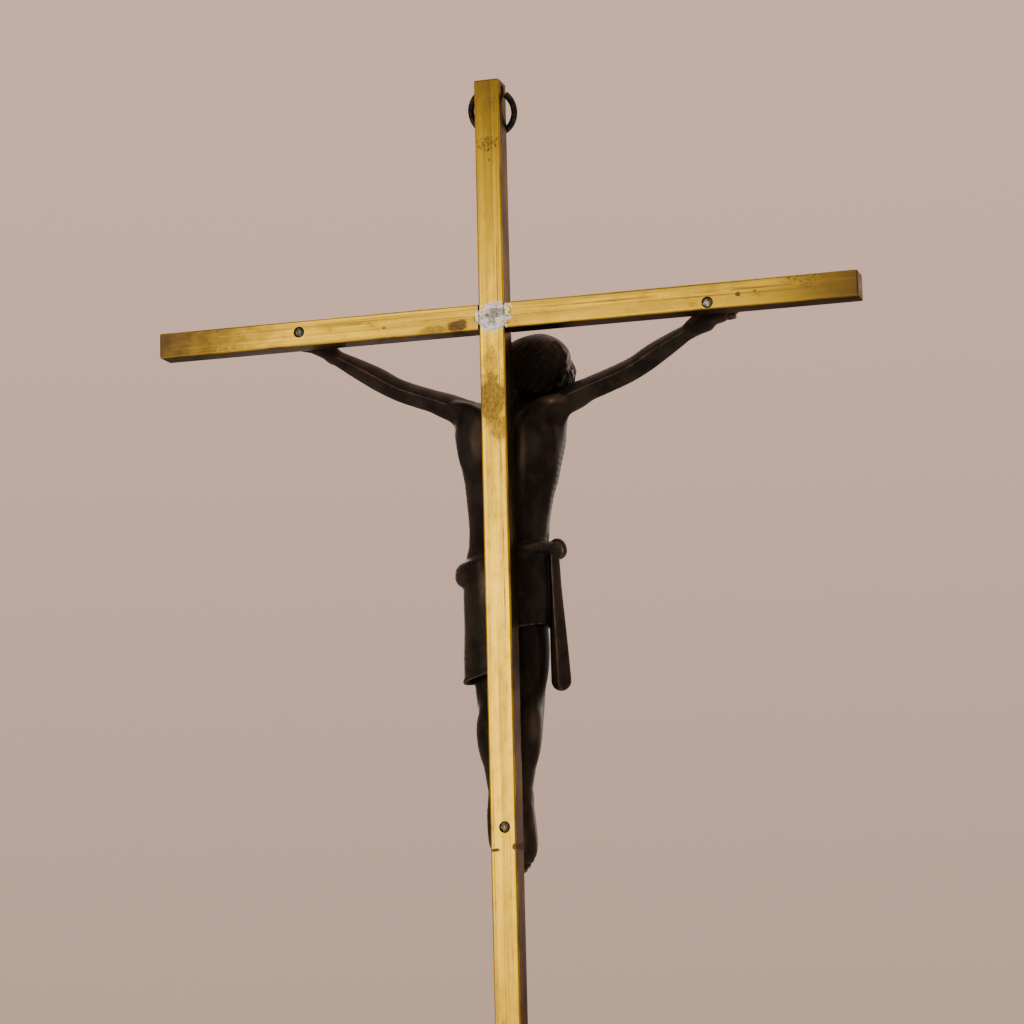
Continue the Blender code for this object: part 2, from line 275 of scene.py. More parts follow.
def leaning(degrees):
    """The three axes turned about the one that points forward."""
    c, s = math.cos(math.radians(degrees)), math.sin(math.radians(degrees))
    return np.array([[c, 0.0, s], [0.0, 1.0, 0.0], [-s, 0.0, c]])


def ball(centre, radii, axes=AXES):
    """An ellipsoid whose radii lie along the rows of axes."""
    centre = np.array(centre, dtype=np.float32)
    radii = np.array(radii, dtype=np.float32)
    turn = np.array(axes, dtype=np.float32).T

    def distance(p):
        q = (p - centre) @ turn
        ratio = np.linalg.norm(q / radii, axis=-1)
        steep = np.linalg.norm(q / radii ** 2, axis=-1)
        return ratio * (ratio - 1.0) / np.maximum(steep, 1e-6)

    reach = np.sqrt(((radii[:, None] * np.array(axes)) ** 2).sum(axis=0))
    return Shape(distance, centre - reach, centre + reach)


def section(start, end, side, power):
    """A stretch of limb between two oval sections, given as x, front, up, width, depth."""
    a = np.array(start[:3])
    along = np.array(end[:3]) - a
    length = np.linalg.norm(along)
    along_unit = along / length
    wide = unit(side - along_unit * (along_unit @ side))
    deep = np.cross(along_unit, wide)
    size_a = np.array(start[3:5], dtype=np.float32)
    size_step = np.array(end[3:5], dtype=np.float32) - size_a
    basis = np.stack([wide, deep, along_unit], axis=1).astype(np.float32)
    origin = a.astype(np.float32)

    def distance(p):
        q = (p - origin) @ basis
        t = np.clip(q[..., 2] / length, 0, 1)
        half_wide = size_a[0] + t * size_step[0]
        half_deep = size_a[1] + t * size_step[1]
        small = np.minimum(half_wide, half_deep)
        rest = q[..., 2] - t * length
        flat = ((np.abs(q[..., 0]) / half_wide) ** power
                + (np.abs(q[..., 1]) / half_deep) ** power) ** (1 / power)
        ratio = np.sqrt(flat ** 2 + (rest / small) ** 2)
        radius = np.sqrt(q[..., 0] ** 2 + q[..., 1] ** 2 + rest ** 2)
        return np.where(ratio < 1e-3, -small, radius - radius / np.maximum(ratio, 1e-3))

    reach = max(start[3], start[4], end[3], end[4])
    return Shape(distance, np.minimum(start[:3], end[:3]) - reach,
                 np.maximum(start[:3], end[:3]) + reach)


def part_way(a, b, share=0.5):
    """The point at a share of the way from a to b."""
    return np.array(a) + (np.array(b) - np.array(a)) * share


def smooth_rows(rows, per_span):
    """Catmull-Rom through rows of numbers."""
    rows = np.array(rows, dtype=float)
    ends = np.vstack([2 * rows[0] - rows[1], rows, 2 * rows[-1] - rows[-2]])
    result = []
    for before, start, end, after in zip(ends, ends[1:], ends[2:], ends[3:]):
        for t in np.arange(per_span) / per_span:
            result.append(0.5 * (2 * start + (end - before) * t
                                 + (2 * before - 5 * start + 4 * end - after) * t ** 2
                                 + (3 * start - before - 3 * end + after) * t ** 3))
    return np.array([*result, rows[-1]])


def limb(stations, side, power=2.0, per_span=5):
    """Oval sections skinned along a smooth path."""
    rows = smooth_rows(stations, per_span)
    return [section(a, b, side, power) for a, b in zip(rows, rows[1:])]


# a side direction that no strand runs along
ASKEW = np.array([0.31, 0.52, 0.79])


def strand(stations, per_span=4):
    """A round strand through x, front, up, radius."""
    rows = [(*row[:3], row[3], row[3]) for row in stations]
    return limb(rows, ASKEW, 2.0, per_span)


def relief(shapes, pattern, depth):
    """The shapes with a pattern of points raised or cut into their surface."""
    def wrap(shape):
        return Shape(lambda p: shape.distance(p) - depth * pattern(p), shape.low - depth,
                     shape.high + depth)
    return [wrap(shape) for shape in shapes]


def step_up(value, low, high):
    t = np.clip((value - low) / (high - low), 0, 1)
    return t * t * (3 - 2 * t)


# ---- trunk

TORSO = [
    (-0.3, 10.5, -29.5, 17.2, 6.0),
    (-0.3, 10.0, -36.0, 17.1, 7.5),
    (0.0, 9.6, -44.0, 15.5, 7.7),
    (0.6, 9.0, -54.0, 13.7, 7.0),
    (1.1, 9.0, -64.0, 12.5, 6.6),
    (1.5, 9.4, -73.0, 12.9, 7.2),
    (1.8, 9.8, -84.0, 13.2, 7.4),
]


def oval_at(stations, up):
    """The middle (x, front) and the half sizes of a body's section at a height."""
    rows = np.array(stations)
    return [np.interp(-up, -rows[:, 2], rows[:, i]) for i in (0, 1, 3, 4)]


def torso_at(up, around, sink=0.0):
    """A point on the trunk: around is 0 in front, 90 at the figure's left, 180 behind."""
    x, front, wide, deep = oval_at(TORSO, up)
    turn = math.radians(around)
    return x + (wide - sink) * math.sin(turn), front + (deep - sink) * math.cos(turn), up


def front_of(clay, x, up):
    """How far forward the clay reaches at a place seen from the front."""
    ahead = np.arange(26.0, 0.0, -0.1)
    column = np.stack([np.full_like(ahead, x), ahead, np.full_like(ahead, up)], axis=1)
    return ahead[np.argmax(clay.sample(column) < 0)]


def along_front(clay, path, radius, ahead):
    """A strand along x, up places, its middle line this far ahead of the clay's front."""
    return strand([(x, front_of(clay, x, up) + ahead, up, radius) for x, up in path])


def groove(clay, path, radius, depth, blend):
    """A soft furrow along x, up places on the front of the clay."""
    clay.carve(along_front(clay, path, radius, radius - depth), blend)


def ridge(clay, path, radius, height, blend):
    """A soft ridge along x, up places on the front of the clay."""
    clay.add(along_front(clay, path, radius, height - radius), blend)


def trunk(clay):
    clay.add(limb(TORSO, X, 2.25), 0.5, margin=5.0)
    chest(clay)
    belly(clay)
    upper_back(clay)
    for side in (-1, 1):
        front_of_chest(clay, side)


def front_of_chest(clay, side):
    """Collarbone, chest muscle, ribs and the arch of the ribs on one side."""
    ridge(clay, [(side * 2.4, -28.6), (side * 7.0, -27.3), (side * 12.0, -26.4), (side * 15.5, -25.6)],
          0.9, 0.55, 1.0)
    groove(clay, [(side * 1.6, -41.6), (side * 5.2, -42.8), (side * 9.4, -41.8), (side * 13.0, -38.2)],
           1.1, 0.75, 1.5)
    groove(clay, [(side * 1.0 + 0.4, -50.5), (side * 4.4 + 0.6, -55.2), (side * 7.6 + 0.9, -60.6),
                  (side * 9.6 + 1.0, -66.0)], 1.2, 0.9, 1.6)
    for rib in range(5):
        up = -45.4 - 2.9 * rib
        inner = 3.4 + 1.15 * rib
        groove(clay, [(side * inner, up + 0.5), (side * (inner + 3.0), up - 0.5),
                      (side * min(inner + 6.2, 12.0), up + 0.9)], 0.8, 0.5, 1.0)


def chest(clay):
    for side in (-1, 1):
        tilt = leaning(side * 20)
        clay.add([ball((side * 7.3, 13.9, -35.6), (8.6, 4.1, 5.4), tilt)], 1.6)
        clay.add([ball((side * 11.6, 12.6, -31.0), (5.2, 3.6, 4.0), tilt)], 2.4)
        clay.add(strand([(side * 2.0, 14.4, -29.0, 0.7), (side * 8.0, 14.2, -27.4, 0.9),
                         (side * 14.5, 12.2, -26.0, 0.9)]), 1.6)
        for rib in range(5):
            up = -42.0 - 3.1 * rib
            path = [(*torso_at(up + 2.2 - 4.4 * step, side * (62 - 32 * step), sink), 0.72)
                    for step, sink in ((0.0, 1.3), (0.3, 0.6), (0.7, 0.45), (1.0, 1.0))]
            clay.add(strand(path), 1.5)
        arch = [(side * 1.4 + 0.5, 15.4, -49.0, 0.8), (side * 5.8 + 0.8, 14.9, -54.6, 1.0),
                (side * 9.6 + 1.0, 12.6, -60.5, 0.8), (side * 11.0 + 1.0, 10.0, -65.0, 0.5)]
        clay.add(strand(arch), 2.2)
    clay.add([ball((0.2, 10.6, -45.5), (14.2, 7.5, 12.0))], 2.0)
    clay.add([ball((14.5, 8.6, -32.0), (2.7, 3.6, 5.0))], 3.0)
    clay.carve(strand([(0.1, 18.4, -32.0, 0.8), (0.4, 18.6, -47.0, 0.6)]), 1.8)


def belly(clay):
    clay.carve([ball((1.0, 19.4, -57.0), (6.8, 3.2, 8.0))], 2.6)
    clay.add([ball((1.4, 11.6, -68.5), (8.2, 5.2, 7.0))], 2.4)
    clay.carve(strand([(0.8, 17.0, -52.0, 0.5), (1.3, 17.6, -64.0, 0.5)]), 1.4)
    clay.carve([ball((1.4, 17.4, -67.2), (0.7, 0.8, 0.9))], 0.8)
    for side in (-1, 1):
        clay.carve(strand([(side * 6.2 + 1.0, 15.6, -58.0, 0.4),
                           (side * 5.4 + 1.3, 16.0, -70.0, 0.4)]), 1.6)


def upper_back(clay):
    """The back's top edge drops in a V from the shoulders to the spine, behind the neck."""
    slope = 1.23
    lowest = -37.1
    depth = 9.6

    def hollow(p):
        above = lowest + slope * np.sqrt(p[..., 0] ** 2 + 1.0) - p[..., 2]
        return np.maximum(above / math.hypot(1, slope), p[..., 1] - depth)

    clay.carve([Shape(hollow, (-12.2, -2.0, -37.0), (12.2, depth, -18.0))], 1.2)
    for side in (-1, 1):
        clay.add(strand([(side * 15.5, 5.6, -24.4, 1.2), (side * 11.5, 4.7, -25.4, 1.5),
                         (side * 8.2, 4.0, -29.0, 1.6), (side * 6.0, 3.6, -33.4, 1.6),
                         (side * 5.2, 3.5, -41.0, 1.3), (side * 4.6, 3.9, -50.0, 0.8)]), 3.0)
        clay.add([ball((side * 9.8, 5.2, -36.0), (5.4, 3.0, 9.0), leaning(side * 12))], 4.0)


# ---- arms and hands

RIGHT_WRIST = (-59.0, 4.2, -7.0)
LEFT_WRIST = (55.5, 4.2, -5.4)


def arm(clay, shoulder, elbow, wrist, girth):
    side = math.copysign(1.0, wrist[0])
    clay.add(limb([
        (side * 6.0, 10.0, -31.0, 6.4, 5.8),
        (*shoulder, girth * 1.1, girth * 1.12),
        (*elbow, girth * 1.0, girth * 0.98),
        (*part_way(elbow, wrist), girth * 0.97, girth * 0.95),
        (*wrist, girth * 0.66, girth * 0.62),
    ], U, 1.3), 2.8, margin=4.0)
    axes = limb_axes(shoulder, elbow)
    clay.add([ball(shoulder + np.array((side * 0.5, 1.6, -0.2)), (6.0, 3.4, 3.3), axes)], 2.4)
    clay.add([ball(part_way(shoulder, elbow) + (side * 1.0, 1.2, 0.2), (6.6, 3.0, 2.7), axes)], 1.4)
    swell = part_way(elbow, wrist, 0.32) + (0.0, 1.1, 0.1)
    clay.add([ball(swell, (7.0, 2.9, 3.0), limb_axes(elbow, wrist))], 1.4)
    clay.add([ball(np.array(wrist) + (0.0, 0.0, 1.3), (1.4, 1.5, 1.3))], 0.9)


def limb_axes(start, end):
    """Axes with the first along a limb and the third as near to up as it can be."""
    first = unit(np.array(end) - start)
    third = unit(U - first * (first @ U))
    return np.stack([first, np.cross(third, first), third])


def hand(clay, wrist, pin, heel_drop):
    side = math.copysign(1.0, pin[0])
    x, up = pin
    clay.add(limb([
        (*wrist, 2.3, 1.9),
        (x - side * 2.0, 2.4, up - 1.2, 3.9, 2.1),
        (x + side * 1.6, 2.2, up - 0.6, 3.6, 1.9),
        (x + side * 3.0, 2.2, up - 0.6, 3.2, 1.7),
    ], U, 2.6), 1.4)
    clay.add(strand([(x - side * 5.5, 2.9, up - heel_drop, 2.0),
                     (x - side * 2.5, 3.2, up - heel_drop + 0.5, 1.8)]), 1.5)
    for finger, (reach, curl) in enumerate(((4.9, 0.0), (5.6, 0.3), (5.4, 0.6), (4.6, 0.9))):
        row = up + 2.7 - 1.55 * finger
        knuckle = x + side * (2.6 - 0.25 * abs(finger - 1.4))
        clay.add(strand([
            (knuckle, 2.2, row, 0.98),
            (x + side * reach, 2.5, row - 0.05, 0.90),
            (x + side * (reach + 0.8), 4.1 + 0.3 * curl, row - 0.15, 0.84),
            (x + side * (reach - 0.6 - curl * 0.5), 5.4, row - 0.2, 0.74),
        ], 3), 0.35)
    clay.add(strand([
        (x - side * 3.6, 3.2, up + 1.6, 1.6),
        (x - side * 0.8, 4.5, up + 3.6, 1.15),
        (x + side * 1.9, 5.3, up + 3.9, 0.95),
        (x + side * 3.6, 5.6, up + 3.4, 0.78),
    ]), 0.7)


def arms_and_hands(clay):
    arm(clay, (-20.0, 9.0, -23.6), (-38.5, 7.2, -17.4), RIGHT_WRIST, 3.7)
    arm(clay, (19.0, 9.0, -23.6), (34.5, 7.2, -17.6), LEFT_WRIST, 3.5)
    hand(clay, RIGHT_WRIST, RIGHT_PIN, 4.9)
    hand(clay, LEFT_WRIST, LEFT_PIN, 3.4)


# ---- head

HEAD_CENTRE = np.array([-8.8, 14.6, -13.2])
HEAD_UP = unit((-0.44, 0.20, 0.88))
HEAD_LEFT = unit(np.cross((-0.16, 0.95, -0.22), HEAD_UP))
HEAD_AXES = np.stack([HEAD_LEFT, np.cross(HEAD_UP, HEAD_LEFT), HEAD_UP])


def in_head(a, b, c):
    """A point given in the head's own axes: to its left, ahead and up."""
    return HEAD_CENTRE + np.array([a, b, c]) @ HEAD_AXES


def head_ball(centre, radii):
    return ball(in_head(*centre), radii, HEAD_AXES)


def head_strand(stations, per_span=4):
    return strand([(*in_head(*row[:3]), row[3]) for row in stations], per_span)


def from_head(p):
    """Points in the head's own axes."""
    return (p - HEAD_CENTRE.astype(np.float32)) @ HEAD_AXES.T.astype(np.float32)


def combed(p):
    """Strands of hair that run down from the crown."""
    q = from_head(p)
    a, b, c = q[..., 0], q[..., 1] + 1.0, q[..., 2]
    around = np.arctan2(a, -b)
    sway = 0.10 * np.sin(0.55 * c + 2.0 * around) + 0.05 * np.sin(1.3 * c + a)
    fade = step_up(np.sqrt(a * a + b * b), 1.5, 5.5)
    coarse = np.cos(21 * (around + sway))
    fine = np.cos(46 * (around + 1.4 * sway) + 0.8 * np.sin(0.9 * c))
    return fade * (0.75 * coarse + 0.45 * fine)


def waved(p):
    """Fine locks in the beard."""
    q = from_head(p)
    return np.cos(4.2 * q[..., 0] + 1.1 * np.sin(0.9 * q[..., 2])) * 0.8 \
        + 0.4 * np.cos(7.0 * q[..., 0] - 1.5 * q[..., 2])


def neck(clay):
    clay.add(limb([(-0.6, 14.2, -33.0, 5.4, 4.4), (-2.6, 14.4, -27.0, 4.7, 4.4),
                   (-5.6, 14.0, -19.0, 4.6, 4.6)], X, 2.0), 2.0)
    clay.add(strand([(0.8, 15.8, -30.0, 0.7), (1.4, 16.0, -26.0, 0.8), (0.6, 14.4, -19.5, 0.8)]), 1.4)


def face(clay):
    clay.add([head_ball((0.0, -0.8, 1.4), (7.3, 8.6, 8.6))], 1.5)
    clay.add([head_ball((0.0, 2.4, -4.0), (5.5, 5.4, 6.6))], 2.0)
    for side in (-1, 1):
        clay.add([head_ball((side * 3.9, 4.9, -2.4), (2.0, 1.9, 1.5))], 1.6)
        clay.add(head_strand([(side * 4.6, 5.7, 0.5, 0.6), (side * 2.6, 7.3, 1.2, 0.85),
                              (side * 0.6, 7.9, 0.7, 0.7)]), 1.1)
        clay.carve([head_ball((side * 2.75, 8.2, -0.9), (1.75, 1.6, 1.25))], 0.9)
        clay.add([head_ball((side * 2.75, 6.0, -1.0), (1.35, 1.25, 1.0))], 0.35)
        clay.carve(head_strand([(side * 4.0, 6.6, -1.35, 0.22), (side * 2.75, 7.5, -1.6, 0.22),
                                (side * 1.6, 7.1, -1.3, 0.22)]), 0.2)
        clay.add([head_ball((side * 1.05, 8.4, -4.1), (0.75, 1.0, 0.7))], 0.4)
        clay.add(relief(head_strand([(side * 0.5, 8.4, -5.5, 0.6), (side * 2.1, 7.8, -6.1, 0.75),
                                     (side * 3.5, 6.3, -8.2, 0.6)]), waved, 0.1), 0.7)
    clay.add(head_strand([(0.0, 7.3, 0.6, 0.75), (0.0, 8.5, -1.8, 0.85), (0.0, 9.5, -3.8, 1.0)]), 0.8)
    clay.add(head_strand([(-1.6, 7.9, -6.9, 0.42), (0.0, 8.5, -6.7, 0.55), (1.6, 7.9, -6.9, 0.42)]), 0.3)
    clay.add(head_strand([(-1.3, 7.7, -7.7, 0.45), (0.0, 8.3, -7.75, 0.6), (1.3, 7.7, -7.7, 0.45)]), 0.3)


def beard(clay):
    clay.add(relief([head_ball((0.0, 4.9, -9.2), (4.3, 3.2, 3.3))], waved, 0.2), 0.3)
    for side in (-1, 1):
        clay.add(relief([head_ball((side * 1.25, 5.6, -11.4), (1.6, 1.7, 2.4))], waved, 0.2), 0.35)
        clay.add(relief(head_strand([(side * 5.9, 2.6, -2.0, 1.1), (side * 5.2, 3.6, -6.0, 1.5),
                                     (side * 2.8, 5.2, -9.6, 1.6)]), waved, 0.14), 0.9)


def side_lock(side, lock):
    """A lock that leaves the parting, passes the temple and falls beside the cheek."""
    back = 1.5 * lock
    return [
        (side * 0.8, 5.2 - 0.9 * back, 7.4 + 0.5 * back, 0.7),
        (side * (3.6 + 0.25 * lock), 5.0 - 1.0 * back, 6.2 + 0.35 * back, 1.1),
        (side * (6.7 + 0.35 * lock), 4.0 - 1.1 * back, 2.4, 1.45),
        (side * (7.5 + 0.30 * lock), 2.9 - 1.1 * back, -3.4, 1.6),
        (side * (7.0 + 0.10 * lock), 3.0 - 1.2 * back, -8.4, 1.5),
        (side * (5.8 + 0.10 * lock), 3.4 - 1.3 * back, -12.2 + 0.6 * lock, 0.9),
    ]


def hair(clay):
    cap = head_ball((0.2, -1.4, 1.3), (10.3, 9.3, 9.5))

    def cap_distance(p):
        q = from_head(p)
        hairline = 5.6 + 0.10 * q[..., 2] - 0.20 * np.abs(q[..., 0])
        thin = 2.1 * step_up(q[..., 1], hairline - 6.0, hairline)
        strands = 0.08 + 0.30 * step_up(q[..., 1], -2.0, 4.0)
        return np.maximum(cap.distance(p) + thin - strands * combed(p), q[..., 1] - hairline)

    clay.add([Shape(cap_distance, cap.low - 0.4, cap.high + 0.4)], 0.7)
    back = head_ball((-0.4, -4.6, -4.2), (8.4, 4.8, 6.6))
    beside = ball((-4.0, 12.2, -11.6), (7.8, 7.4, 7.9))
    clay.add(relief([back], combed, 0.07), 2.4)
    clay.add(relief([beside], combed, 0.10), 2.0)
    for side in (-1, 1):
        for lock in range(4):
            clay.add(relief(head_strand(side_lock(side, lock)), combed, 0.30), 0.4)
    clay.carve(head_strand([(0.0, 6.6, 7.4, 0.35), (0.0, 2.0, 10.9, 0.4), (0.0, -4.0, 10.8, 0.3)]), 0.8)
    for lock in range(5):
        path = []
        for step in range(9):
            t = step / 8
            wave = 0.45 * math.sin(6.0 * t * math.pi / 2 + 1.4 * lock)
            path.append((-13.4 - 4.2 * math.sin(math.pi * (0.10 + 0.72 * t)) - wave,
                         10.2 + 1.9 * lock + 0.5 * wave, -7.0 - 14.0 * t - 0.5 * lock, 1.9 - 0.5 * t))
        clay.add(relief(strand(path, 3), combed, 0.24), 0.6)
    painted_nape_shade = [(-12.6, 8.4, -20.6, 1.2), (-9.6, 6.9, -21.2, 1.35), (-6.6, 6.6, -18.8, 1.3),
            (-3.2, 7.4, -17.2, 1.2)]
    clay.add(relief(strand(painted_nape_shade), combed, 0.2), 1.1)


# ---- legs and feet

def leg(clay, hip, knee, ankle, toe, girth, foot_depth):
    thigh = part_way(hip, knee) + (0.0, 0.6, 0.0)
    calf = part_way(knee, ankle, 0.25) - (0.0, 0.8, 0.0)
    clay.add(limb([
        (*hip, 7.0 * girth, 7.2),
        (*thigh, 5.9 * girth, 6.4),
        (*knee, 4.9 * girth, 5.2),
        (*calf, 4.8 * girth, 5.0),
        (*ankle, 2.8, 3.3),
    ], X, 1.9), 1.2, margin=4.0)
    clay.add([ball((knee[0], knee[1] + 3.9, knee[2] + 1.4), (2.7, 1.9, 3.2))], 1.3)
    for side in (-1, 1):
        clay.carve([ball((knee[0] + side * 3.1, knee[1] + 5.1, knee[2] - 1.4), (0.9, 1.3, 2.4))], 1.4)
    shin = (knee[0], knee[1] + 3.6, knee[2] - 5.0)
    foot_top = (ankle[0], ankle[1] + 2.4, ankle[2] + 2.0)
    clay.add(strand([(*shin, 1.2), (*part_way(shin, foot_top), 1.0), (*foot_top, 0.8)]), 1.8)
    for side in (-1, 1):
        clay.add([ball((ankle[0] + side * 1.8, ankle[1] + 0.4, ankle[2] - 1.2),
                       (1.1, 1.3, 2.2))], 2.0)
        clay.add([ball((calf[0] + side * 1.8, calf[1] - 1.9, calf[2] + 0.4 + side * 1.0),
                       (2.6, 2.7, 8.6))], 3.2)
    foot(clay, ankle, toe, foot_depth)


# big toe first, in mm: how far across the foot, how far down past the knuckles, radius
TOES = [(2.1, 2.2, 1.15), (0.9, 1.7, 0.92), (-0.2, 0.5, 0.85), (-1.2, -1.2, 0.8), (-2.1, -3.0, 0.72)]


def foot(clay, ankle, toe, depth):
    heel = np.array((ankle[0] + 0.2 * (toe[0] - ankle[0]), ankle[1] - 0.9, ankle[2] - 4.5))
    sole = part_way(heel, toe, 0.6)
    knuckle = part_way(heel, toe, 0.84)
    clay.add(limb([(*ankle, 2.8, 3.1), (*heel, 3.6, 3.5), (*sole, 3.7, depth),
                   (*knuckle, 2.3, depth * 0.66)], X, 2.2), 1.2)
    inner = -math.copysign(1.0, ankle[0])
    for number, (across, ahead, size) in enumerate(TOES):
        base = knuckle + np.array((inner * across * 0.9, 0.2, 0.6))
        tip = knuckle + np.array((inner * across, 0.3, -1.9 - ahead))
        middle = part_way(base, tip) + (0.0, 0.7, 0.0)
        clay.add(strand([(*base, size * 1.05), (*middle, size), (*tip, size)], 3), 0.35)
        if number:
            clay.carve(strand([(*(base + (inner * 0.8, depth * 0.72, 1.6)), 0.3),
                               (*(middle + (inner * 0.8, 0.9, 0.0)), 0.42)], 2), 0.4)


def legs(clay):
    leg(clay, (-3.4, 10.2, -88.0), (-3.1, 12.2, -117.0), (-1.7, 7.4, -144.5), (-2.6, 8.2, -165.8),
        0.96, 3.3)
    leg(clay, (8.2, 10.4, -88.0), (7.9, 12.4, -119.0), (4.9, 4.5, -145.5), (3.9, 3.3, -163.5),
        1.08, 2.7)
    clay.add([ball((-6.4, 11.4, -101.0), (3.4, 4.6, 11.0))], 2.0)
    clay.add(limb([(FEET_PIN[0], 3.2, FEET_PIN[1] + 5.6, 3.0, 2.6),
                   (FEET_PIN[0], 3.2, FEET_PIN[1] - 5.6, 3.0, 2.6)], X), 1.2)


# ---- cloth

SKIRT = [
    (1.4, 9.8, -72.0, 13.6, 8.0),
    (1.8, 10.2, -82.0, 14.5, 8.7),
    (2.5, 10.9, -92.0, 14.0, 9.2),
    (4.2, 11.3, -101.0, 12.7, 9.1),
    (5.4, 11.5, -112.0, 11.5, 8.8),
]
SKIRT_POWER = 2.2
SKIRT_MIDDLE = (2.4, 10.4)
ROLL = [
    (-12.6, 10.5, -70.4, 2.1),
    (-9.6, 4.6, -69.8, 1.95),
    (-2.5, 2.5, -71.6, 1.5),
    (5.5, 2.6, -73.2, 1.8),
    (12.2, 4.9, -75.4, 2.9),
    (14.9, 9.8, -76.6, 3.9),
    (11.6, 15.0, -77.0, 3.4),
    (2.0, 17.6, -76.8, 2.6),
    (-7.8, 15.8, -73.8, 2.2),
    (-12.6, 10.5, -70.4, 2.1),
]
ROLL_MIDDLE = (1.6, 9.8)
KNOT = (-14.0, 10.4, -70.0)
KNOT_RADII = (2.6, 3.7, 3.1)
HEM_TURN = -3.2
HEM_UP = -93.9
HEM_HOLLOW = 4.5
CLOTH_THICKNESS = 1.15
FOLD_DEPTH = 0.6


def hem_height(x):
    """The hem runs nearly level over the right thigh, drops between the legs and levels out."""
    past = x - HEM_TURN
    right = HEM_UP - 0.13 * past
    left = HEM_UP - 11.4 * step_up(x, HEM_TURN, 7.0) - 0.22 * past
    return np.where(x < HEM_TURN, right, left)


def drapery(p):
    """Folds that fan out from the knot over the front and fade behind."""
    around = np.arctan2(p[..., 0] - SKIRT_MIDDLE[0], p[..., 1] - SKIRT_MIDDLE[1])
    run = (around + 1.75) * 12.0
    drop = -71.0 - p[..., 2]
    fan = np.arctan2(drop, run)
    reach = np.sqrt(drop ** 2 + run ** 2)
    front = step_up(np.cos(around * 0.92), 0.05, 0.55)
    folds = np.cos(19.0 * fan + 0.10 * reach) + 0.4 * np.cos(37.0 * fan - 0.1 * reach + 1.0)
    behind = 0.22 * np.cos(5.0 * around + 0.05 * drop)
    return front * folds * step_up(reach, 3.0, 14.0) + (1 - front) * behind


def skirt(clay):
    """Folded cloth cut off at the hem, its lower edge thin and hollow inside."""
    body = limb(SKIRT, X, SKIRT_POWER)
    low, high = box_of(body)

    def distance(p):
        away = np.minimum.reduce([shape.distance(p) for shape in body]) - FOLD_DEPTH * drapery(p)
        hem = (hem_height(p[..., 0]) - p[..., 2]) * 0.85
        inside = np.maximum(away + CLOTH_THICKNESS, hem - HEM_HOLLOW)
        shell = np.maximum(away, hem)
        hollow = np.maximum(inside, -hem - HEM_HOLLOW)
        return -smooth_min(-shell, hollow, 0.5)

    clay.add([Shape(distance, low - FOLD_DEPTH, high + FOLD_DEPTH)], 0.5, margin=2.0)
    hem_band = [(*skirt_at(around), 0.42) for around in range(-125, 231, 12)]
    clay.add(strand(hem_band, 2), 1.1)


def skirt_at(around):
    """A point on the hem, around counted as on the trunk."""
    s, c = math.sin(math.radians(around)), math.cos(math.radians(around))
    norm = (abs(s) ** SKIRT_POWER + abs(c) ** SKIRT_POWER) ** (1 / SKIRT_POWER)
    up = -98.0
    for _ in range(12):
        x, front, wide, deep = oval_at(SKIRT, up)
        x += (wide - 0.3) * s / norm
        front += (deep - 0.3) * c / norm
        up = float(hem_height(np.float64(x))) + 0.5
    return x, front, up


def round_waist(p):
    """The turn about the middle of the waist roll, and the distance from it."""
    x, front = p[..., 0] - ROLL_MIDDLE[0], p[..., 1] - ROLL_MIDDLE[1]
    return np.arctan2(x, front), np.hypot(x, front)


def waist_roll(clay):
    """The cloth's top edge, rolled and twisted round the waist."""
    rows = smooth_rows(ROLL, 6)
    around, out = round_waist(rows)
    order = np.argsort(around)

    def twist(p):
        turn, away = round_waist(p)
        up, middle = [np.interp(turn, around[order], values[order], period=math.tau)
                      for values in (rows[:, 2], out)]
        roll = np.arctan2(p[..., 2] - up, away - middle)
        front = 0.35 + 0.65 * step_up(np.cos(turn), -0.5, 0.4)
        return front * np.cos(3.0 * roll + 9.0 * turn)

    clay.add(relief(strand(ROLL, 6), twist, 0.22), 1.5)


def knot_folds(p):
    """Two wraps of cloth over the knot."""
    return np.cos(1.75 * (p[..., 1] - KNOT[1]) + 0.9 * (p[..., 2] - KNOT[2]))


def knot_and_strip(clay):
    clay.add(relief([ball(KNOT, KNOT_RADII)], knot_folds, 0.20), 0.8)
    clay.add(limb([
        (-13.0, 8.4, -71.5, 1.9, 2.6),
        (-13.3, 8.5, -82.0, 2.1, 2.9),
        (-13.7, 8.6, -92.0, 2.5, 3.1),
        (-14.1, 8.7, -102.0, 2.9, 3.2),
        (-14.4, 8.8, -110.4, 3.2, 3.2),
    ], X, 1.25), 0.7)
    clay.carve(strand([(-15.2, 10.4, -76.0, 0.4), (-16.2, 10.6, -92.0, 0.5),
                       (-16.8, 10.8, -104.0, 0.4)]), 0.8)


def cloth(clay):
    skirt(clay)
    waist_roll(clay)
    knot_and_strip(clay)


# ---- figure

SEAT_RADIUS = 2.3
BACK_GAP = 0.3


def seat(clay, pin, depth):
    """A flat round seat under a pin's head."""
    x, up = pin

    def distance(p):
        away = np.hypot(p[..., 0] - x, p[..., 2] - up) - SEAT_RADIUS
        return np.maximum(away, depth - p[..., 1])

    clay.carve([Shape(distance, (x - 2.5, depth, up - 2.5), (x + 2.5, depth + 9, up + 2.5))], 0.3)


def flat_back(clay):
    """Cuts the casting off just in front of the bars."""
    front = clay.low[1] + clay.step * np.arange(clay.field.shape[1])
    clay.field = np.maximum(clay.field, (BACK_GAP - front)[None, :, None].astype(np.float32))


